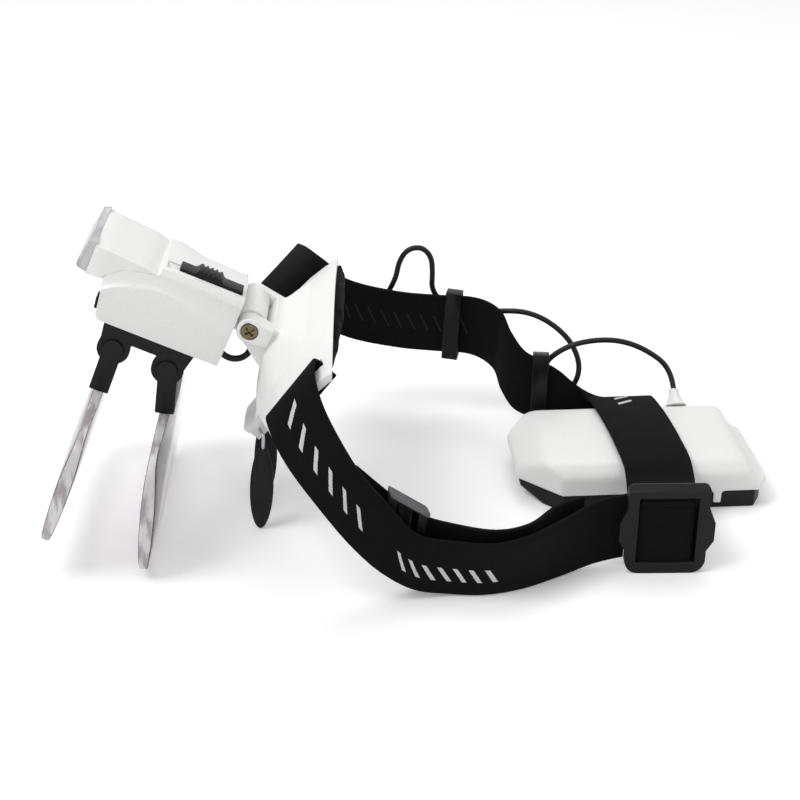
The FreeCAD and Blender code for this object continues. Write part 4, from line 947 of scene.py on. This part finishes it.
class VISOR_OT_lenses(bpy.types.Operator):
    """Two clear magnifiers, thick in the middle, each with a tab for its arm"""
    bl_idname = "visor.lenses"
    bl_label = "Lenses"

    def execute(self, context):
        for name, node, pivot, lean in (("front_magnifier", "front_lens", -39.8, 22.3),
                                        ("rear_magnifier", "rear_lens", -20.3, 8.3)):
            where = VISOR @ (Vector((pivot, 0.0, -25.0)) * MM)
            home = Matrix.Translation(where) @ Matrix.Rotation(math.radians(lean), 4, "Y")
            self.lens(name, node, home)
        return {"FINISHED"}

    def lens(self, name, node, home):
        top, height, width = LENS_TOP, LENS_HEIGHT, LENS_WIDTH
        middle = top - height / 2
        obj = block(name, (0.0, 0.0, middle), (6.0, width, height))
        round_edges(obj, 9.0, 8, lambda m, way: abs(way.x) > 0.9)
        slice_at(obj, "y", [width * (k / 16 - 0.5) for k in range(1, 16)])
        slice_at(obj, "z", [middle + height * (k / 12 - 0.5) for k in range(1, 12)])

        def bow(at):
            up, out = (at.z - middle) / (height / 2), at.y / (width / 2)
            half = 3.15 - 1.35 * min(1.0, abs(up)) ** 2.2 - 0.75 * min(1.0, abs(out)) ** 2
            return (math.copysign(half, at.x) - at.x, 0.0, 0.0)
        press(obj, lambda at: True, bow)
        tab = block("lens_tab", (0.0, 0.0, top + 2.6), (2.6, 20.0, 8.6))
        soften(tab, 0.3)
        soften(obj, 0.45, angle=50, smooth=30)
        obj = join(name, [obj, tab])
        dress(obj, "lens", node)
        obj.data.materials.append(finishes["lens_edge"])
        obj.data.materials.append(finishes["lens_end_shade"])
        for face in obj.data.polygons:
            if abs(face.normal.x) < 0.35:
                face.material_index = 1
                # painted shade: the lower end faces take dark grey where the clear lens looks dark
                if face.center.z / MM < top - height + 2.2 and abs(face.center.y) / MM > 36.0:
                    face.material_index = 2
        seat(obj, home)
        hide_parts(node)


# the stub of lead at the hinge, in the housing's frame
HINGE_LEAD = [(-7.0, -6.0, -13.6), (-5.4, -6.0, -16.2), (-2.0, -6.0, -17.2), (1.4, -6.1, -16.2),
              (3.8, -6.2, -13.2), (3.8, -6.2, -9.6), (2.6, -6.2, -6.6)]
HINGE_LEAD_RADIUS = 0.00115


class VISOR_OT_hinge(bpy.types.Operator):
    """The hinge's cross-head bolt in its raised rim, the lug behind it and the short lead"""
    bl_idname = "visor.hinge"
    bl_label = "Hinge"

    def execute(self, context):
        bolt = copy_of("hinge_bolt", "hinge_screw", VISOR)
        slots = []
        for angle in (35, 125):
            bpy.ops.object.select_all(action="DESELECT")
            bpy.ops.mesh.primitive_cube_add(size=1.0, location=(0, -16.9 * MM, 0),
                                            rotation=(0, math.radians(angle), 0))
            slot = bpy.context.active_object
            slot.scale = (3.7 * MM, 2.6 * MM, 0.95 * MM)
            bpy.ops.object.transform_apply(location=True, rotation=True, scale=True)
            slots.append(slot)
        carve(bolt, slots)
        soften(bolt, 0.3)
        seat(dress(bolt, "zinc", "headband"), VISOR)
        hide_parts("hinge_screw")
        rim = cylinder("hinge_rim", (0.0, -16.15, 0.0), 4.55, 1.9)
        carve(rim, [cylinder("rim_bore", (0.0, -16.5, 0.0), 3.15, 4.0)])
        soften(rim, 0.45)
        seat(dress(rim, "white", "headband"), VISOR)
        # the lug runs back from the boss to the shell as a squared block
        lug = drawn_prism("hinge_lug", [(-1.4, 4.3), (7.6, 3.6), (7.6, -3.4), (0.4, -4.3)],
                          -15.6, 3.6)
        round_edges(lug, 0.9, 3, lambda m, way: abs(way.y) < 0.1 and m.y < -17.0)
        carve(lug, [cylinder("lug_bore", (0.0, -15.6, 0.0), 3.15, 6.0)])
        soften(lug, 0.35)
        seat(dress(lug, "white", "headband"), VISOR)
        self.lead(context)
        return {"FINISHED"}

    def lead(self, context):
        """The short lead that dips out of the housing and up towards the shell."""
        obj = round_lead(context, "hinge_lead", [VISOR @ (Vector(at) * MM) for at in HINGE_LEAD],
                         HINGE_LEAD_RADIUS)
        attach(obj, "visor")
        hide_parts("hinge_cable")


# ---------------------------------------------------------------- brow shell

# the front face of the shell in the middle: pairs of height and place
SHELL_FACE = [(-21.0, -2.0), (-14.0, -6.0), (-8.0, -7.8), (-2.0, -8.2), (6.0, -7.9), (14.0, -6.8),
              (20.5, -4.6)]


class VISOR_OT_brow(bpy.types.Operator):
    """The forehead shell, flaring from the hinge's neck to its flat rear rim"""
    bl_idname = "visor.brow"
    bl_label = "Brow shell"

    def execute(self, context):
        shell = copy_of("brow_shell", "forehead_shell", BROW)
        soften(shell, 0.6)
        front, length = -13.6, 7.0
        neck = block("brow_neck", (front + length / 2, 0.0, -1.2), (length, 30.6, 9.0))
        round_edges(neck, 3.2, 6, lambda m, way: abs(way.x) > 0.9)
        slice_at(neck, "x", [front + length * part for part in
                             (0.15, 0.3, 0.45, 0.6, 0.7, 0.78, 0.86, 0.93)])
        slice_at(neck, "y", (-12.0, -8.0, -4.0, 0.0, 4.0, 8.0, 12.0))
        slice_at(neck, "z", (-4.0, -2.6, -1.2, 0.2, 1.6))

        def flare(at):
            share = max(0.0, (at.x - front) / length)
            spread = share ** 3
            y = at.y * (1.0 + 1.35 * spread)
            z = at.z + spread * (-1.5 + 15.5 * (at.z + 1.2) / 4.5 - at.z)
            # the rear ring lies just inside the shell's bowed face
            x = front + share * (along(SHELL_FACE, z) + y * y / 320.0 + 0.55 - front)
            return (x - at.x, y - at.y, z - at.z)
        press(neck, lambda at: True, flare)
        soften(neck, 0.8, segments=3, angle=60, smooth=70)
        shell = join("brow_shell", [shell, neck])
        seat(dress(shell, "white", "headband"), BROW)
        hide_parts("forehead_shell")
        return {"FINISHED"}


class VISOR_OT_pad(bpy.types.Operator):
    """The foam pad behind the shell: crowned, and tapered to its near end"""
    bl_idname = "visor.pad"
    bl_label = "Brow pad"

    def execute(self, context):
        home = sub_frame(0.0, 0.0, 0.0)
        pad = copy_of("brow_pad", "forehead_pad", home)
        slice_at(pad, "y", [-36.0 + 6.0 * k for k in range(13)])

        def taper(at):
            near = max(0.0, (-10.0 - at.y) / 30.0) ** 1.4
            far = max(0.0, (at.y - 24.0) / 16.0) ** 2
            return (-3.0 * near - 1.4 * far, 0.0, 0.0)
        press(pad, lambda at: at.x > PAD_REAR - 0.2, taper)
        seat(pad, home)
        modify(pad, "REMESH", mode="VOXEL", voxel_size=1.3 * MM)
        modify(pad, "SMOOTH", factor=0.5, iterations=6)
        self.swell(context, pad, 0.7)
        modify(pad, "SUBSURF", levels=1)
        take(pad)
        bpy.ops.object.shade_smooth()
        dress(pad, "foam", "headband")
        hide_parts("forehead_pad")
        return {"FINISHED"}

    def swell(self, context, pad, cap_mm):
        """Blow the cover out a little, as the foam fills it, and cap how far a point moves."""
        starts = [vertex.co.copy() for vertex in pad.data.vertices]
        cloth = pad.modifiers.new("Swell", "CLOTH")
        cloth.settings.use_pressure = True
        cloth.settings.uniform_pressure_force = 4.0
        cloth.settings.effector_weights.gravity = 0.0
        for step in range(1, 21):
            context.scene.frame_set(step)
        take(pad)
        bpy.ops.object.modifier_apply(modifier=cloth.name)
        context.scene.frame_set(1)
        for vertex, start in zip(pad.data.vertices, starts):
            moved = vertex.co - start
            if moved.length > cap_mm * MM:
                vertex.co = start + moved * (cap_mm * MM / moved.length)


# ---------------------------------------------------------------- buckle and adjuster

# the webbing that fills the buckle's window, and the fold at its top
BUCKLE_WEB = [((80.9, -41.0, 3.2), (80.9, -41.0, 28.7)), ((84.0, -41.6, 3.2), (84.0, -41.6, 28.9)),
              ((91.0, -41.9, 3.2), (91.0, -41.9, 29.0)), ((97.5, -41.7, 3.2), (97.5, -41.7, 29.0)),
              ((100.0, -41.1, 3.2), (100.0, -41.1, 29.0))]
BUCKLE_FOLD = [((81.5, -42.2, 26.9), (81.5, -42.2, 28.5)),
               ((91.0, -42.9, 27.0), (91.0, -42.9, 28.7)),
               ((99.6, -42.2, 27.0), (99.6, -42.2, 28.7))]


class VISOR_OT_buckle(bpy.types.Operator):
    """The end buckle with its slanted top face, and the webbing that fills its window"""
    bl_idname = "visor.buckle"
    bl_label = "Buckle"

    def execute(self, context):
        home = sub_frame(91.0, 0.0, 0.0, -41.6)
        buckle = copy_of("band_buckle", "buckle", home)
        round_edges(buckle, 2.2, 1, lambda m, way: m.y < -1.4 and m.z > 33.9 and abs(way.x) > 0.8)
        round_edges(buckle, 2.4, 6, lambda m, way: abs(way.y) > 0.9 and abs(m.x) > 10.5
                    and (m.z > 33.0 or m.z < 3.2))
        soften(buckle, 0.5)
        seat(dress(buckle, "black", "headband"), home)
        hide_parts("buckle")
        woven_band("buckle_web", BUCKLE_WEB, None, 1.4)
        woven_band("buckle_fold", BUCKLE_FOLD, None, 0.8, across=2)
        return {"FINISHED"}


# the adjuster leans with the rising band: millimetres down for each one along it
ADJUSTER_LEAN = 0.62


class VISOR_OT_adjuster(bpy.types.Operator):
    """The band's adjuster, with the ribbed grip on its top, painted grey for the glare on its
    black plastic
    """
    bl_idname = "visor.adjuster"
    bl_label = "Adjuster"

    def execute(self, context):
        (low_a, high_a), (low_b, high_b) = [
            (place(*low), place(*high)) for low, high in INNER_BAND[1:3]]
        low, high = (low_a + low_b) / 2, (high_a + high_b) / 2
        up = (high - low).normalized()
        side = up.cross(low_b + high_b - low_a - high_a).normalized()
        home = Matrix.Translation(low) @ Matrix((side.cross(up), side, up)).transposed().to_4x4()
        frame_bar = copy_of("band_adjuster", "strap_adjuster", home)
        bottom = min(vertex.co.z for vertex in frame_bar.data.vertices) / MM
        middle = sum(vertex.co.y for vertex in frame_bar.data.vertices) / MM
        middle /= len(frame_bar.data.vertices)
        press(frame_bar, lambda at: at.z < bottom + 1.9, lambda at: (0.0, 0.0, 5.0))
        press(frame_bar, lambda at: True, lambda at: (0.0, 0.0, -ADJUSTER_LEAN * at.x))
        round_edges(frame_bar, 1.6, 4, lambda m, way: abs(way.y) > 0.9 and abs(m.x) > 6.0)
        soften(frame_bar, 0.35)
        seat(dress(frame_bar, "black", "headband"), home)
        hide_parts("strap_adjuster")

        top = bottom + 29.0
        # painted highlight: the grip and its ribs are grey for the glare on black plastic
        grip = block("adjuster_grip", (0.4, middle, top + 0.1), (14.6, 5.4, 1.8))
        round_edges(grip, 1.2, 4, lambda m, way: abs(way.z) > 0.9)
        soften(grip, 0.25)
        ribs = []
        for offset in (-1.5, -0.5, 0.5, 1.5):
            rib = cylinder("grip_rib", (0.4, middle + offset, top + 1.0), 0.34, 12.4, "x", 12)
            ribs.append(soften(rib, 0.12, segments=2))
        grip = join("adjuster_grip", [grip] + ribs)
        press(grip, lambda at: True, lambda at: (0.0, 0.0, -ADJUSTER_LEAN * at.x))
        seat(dress(grip, "grip", "headband"), home)
        return {"FINISHED"}


# ---------------------------------------------------------------- cell box

class VISOR_OT_cell_box(bpy.types.Operator):
    """The cell box's crowned lid, its base and the tapered gland of the lead"""
    bl_idname = "visor.cell_box"
    bl_label = "Cell box"

    def execute(self, context):
        home = (Matrix.Translation(place(89.5, 24.0, 0.0))
                @ Matrix.Rotation(math.radians(3.0), 4, "Z"))
        lid = copy_of("cell_box_lid", "box_lid", home)
        slice_at(lid, "y", (-18.0, -14.0, -9.0, -4.0, 0.0, 4.0, 9.0, 14.0, 18.0))
        press(lid, lambda at: at.z > 18.5 and abs(at.y) < 22.0,
              lambda at: (0.0, 0.0, 0.8 - 1.5 * (at.y / 21.5) ** 2))
        modify(lid, "REMESH", mode="VOXEL", voxel_size=0.8 * MM)
        crown = lid.vertex_groups.new(name="crown")
        crown.add([vertex.index for vertex in lid.data.vertices if vertex.co.z / MM > 10.5],
                  1.0, "REPLACE")
        modify(lid, "SMOOTH", factor=0.5, iterations=70, vertex_group="crown")
        modify(lid, "SMOOTH", factor=0.5, iterations=3)
        take(lid)
        bpy.ops.object.shade_smooth()
        seat(dress(lid, "white", "headband"), home)
        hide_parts("box_lid")
        base = copy_of("cell_box_base", "box_base", home)
        soften(base, 0.8)
        seat(dress(base, "black", "box_base"), home)
        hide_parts("box_base")

        spout = home @ Matrix.Translation(Vector((21.5, 24.0, 17.5)) * MM) @ Matrix.Rotation(
            math.radians(-45.0), 4, "X")
        gland = copy_of("lead_gland", "cable_gland", spout)
        slice_at(gland, "z", (1.0, 2.0, 3.5, 5.0, 6.2))

        def taper(at):
            size = 1.25 - 0.68 * max(0.0, min(1.0, at.z / 5.0)) ** 0.7
            return (at.x * (size - 1.0), at.y * (size - 1.0), 0.0)
        press(gland, lambda at: True, taper)
        soften(gland, 0.3)
        seat(dress(gland, "white", "headband"), spout)
        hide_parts("cable_gland")
        return {"FINISHED"}


# piece, solid, finish, body, edge radius in millimetres
MOULDINGS = [
    ("bridge_insert", "nose_bridge", "white", "headband", 0.7),
    ("front_lens_arm", "front_arm", "black", "front_arm", 0.5),
    ("rear_lens_arm", "rear_arm", "black", "rear_arm", 0.5),
    ("front_keeper", "clip_front", "gloss", "headband", 0.55),
    ("rear_keeper", "clip_rear", "gloss", "headband", 0.7),
    ("near_nose_pad", "nose_pad_near", "soft", "near_pad", 0.4),
    ("far_nose_pad", "nose_pad_far", "soft", "far_pad", 0.4),
    ("front_pivot", "front_pin", "black", "visor", 0.2),
    ("rear_pivot", "rear_pin", "black", "visor", 0.2),
    ("hinge_bolt_nut", "hinge_nut", "zinc", "headband", 0.15),
]

# small or hidden solids whose own shape is right
KEPT_SOLIDS = {
    "led_board": "board", "leds": "lamp", "reflector": "mirror", "switch_body": "black",
    "holder_screw": "steel", "nose_wire_near": "steel", "nose_wire_far": "steel",
    "cells": "sleeve", "contact_springs": "steel", "contact_plates": "steel",
}


class VISOR_OT_mouldings(bpy.types.Operator):
    """The small mouldings that keep their solid's shape, and the finish of the kept solids"""
    bl_idname = "visor.mouldings"
    bl_label = "Mouldings"

    def execute(self, context):
        for name, node, finish, body, edge in MOULDINGS:
            obj = soften(copy_of(name, node), edge)
            dress(obj, finish, body)
            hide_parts(node)
        for node, finish in KEPT_SOLIDS.items():
            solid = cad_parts[node]
            solid.data.materials.clear()
            solid.data.materials.append(finishes[finish])
        return {"FINISHED"}


class VISOR_PT_panel(bpy.types.Panel):
    """Lists the steps that build the part"""
    bl_idname = "VISOR_PT_panel"
    bl_label = "Head visor magnifier"
    bl_space_type = "VIEW_3D"
    bl_region_type = "UI"
    bl_category = "Visor"

    def draw(self, context):
        for group in (context.scene.visor_colours, context.scene.visor_sizes):
            for name in group.bl_rna.properties.keys():
                if name not in ("rna_type", "name"):
                    self.layout.prop(group, name)
        for step in STEPS:
            self.layout.operator(step.bl_idname)


STEPS = [VISOR_OT_stage, VISOR_OT_lead, VISOR_OT_bands, VISOR_OT_housing, VISOR_OT_slider,
         VISOR_OT_bracket, VISOR_OT_lenses, VISOR_OT_hinge, VISOR_OT_brow, VISOR_OT_pad,
         VISOR_OT_buckle, VISOR_OT_adjuster, VISOR_OT_cell_box, VISOR_OT_mouldings]
CLASSES = [VisorColours, VisorSizes] + STEPS + [VISOR_PT_panel]


def register():
    for item in CLASSES:
        bpy.utils.register_class(item)
    bpy.types.Scene.visor_colours = bpy.props.PointerProperty(type=VisorColours)
    bpy.types.Scene.visor_sizes = bpy.props.PointerProperty(type=VisorSizes)


def unregister():
    del bpy.types.Scene.visor_sizes
    del bpy.types.Scene.visor_colours
    for item in reversed(CLASSES):
        bpy.utils.unregister_class(item)


def main():
    register()
    make_finishes(bpy.context.scene.visor_colours)
    bpy.ops.visor.stage()
    bpy.ops.visor.lead()
    bpy.ops.visor.bands()
    bpy.ops.visor.housing()
    bpy.ops.visor.slider()
    bpy.ops.visor.bracket()
    bpy.ops.visor.lenses()
    bpy.ops.visor.hinge()
    bpy.ops.visor.brow()
    bpy.ops.visor.pad()
    bpy.ops.visor.buckle()
    bpy.ops.visor.adjuster()
    bpy.ops.visor.cell_box()
    bpy.ops.visor.mouldings()


if __name__ == "__main__":
    main()
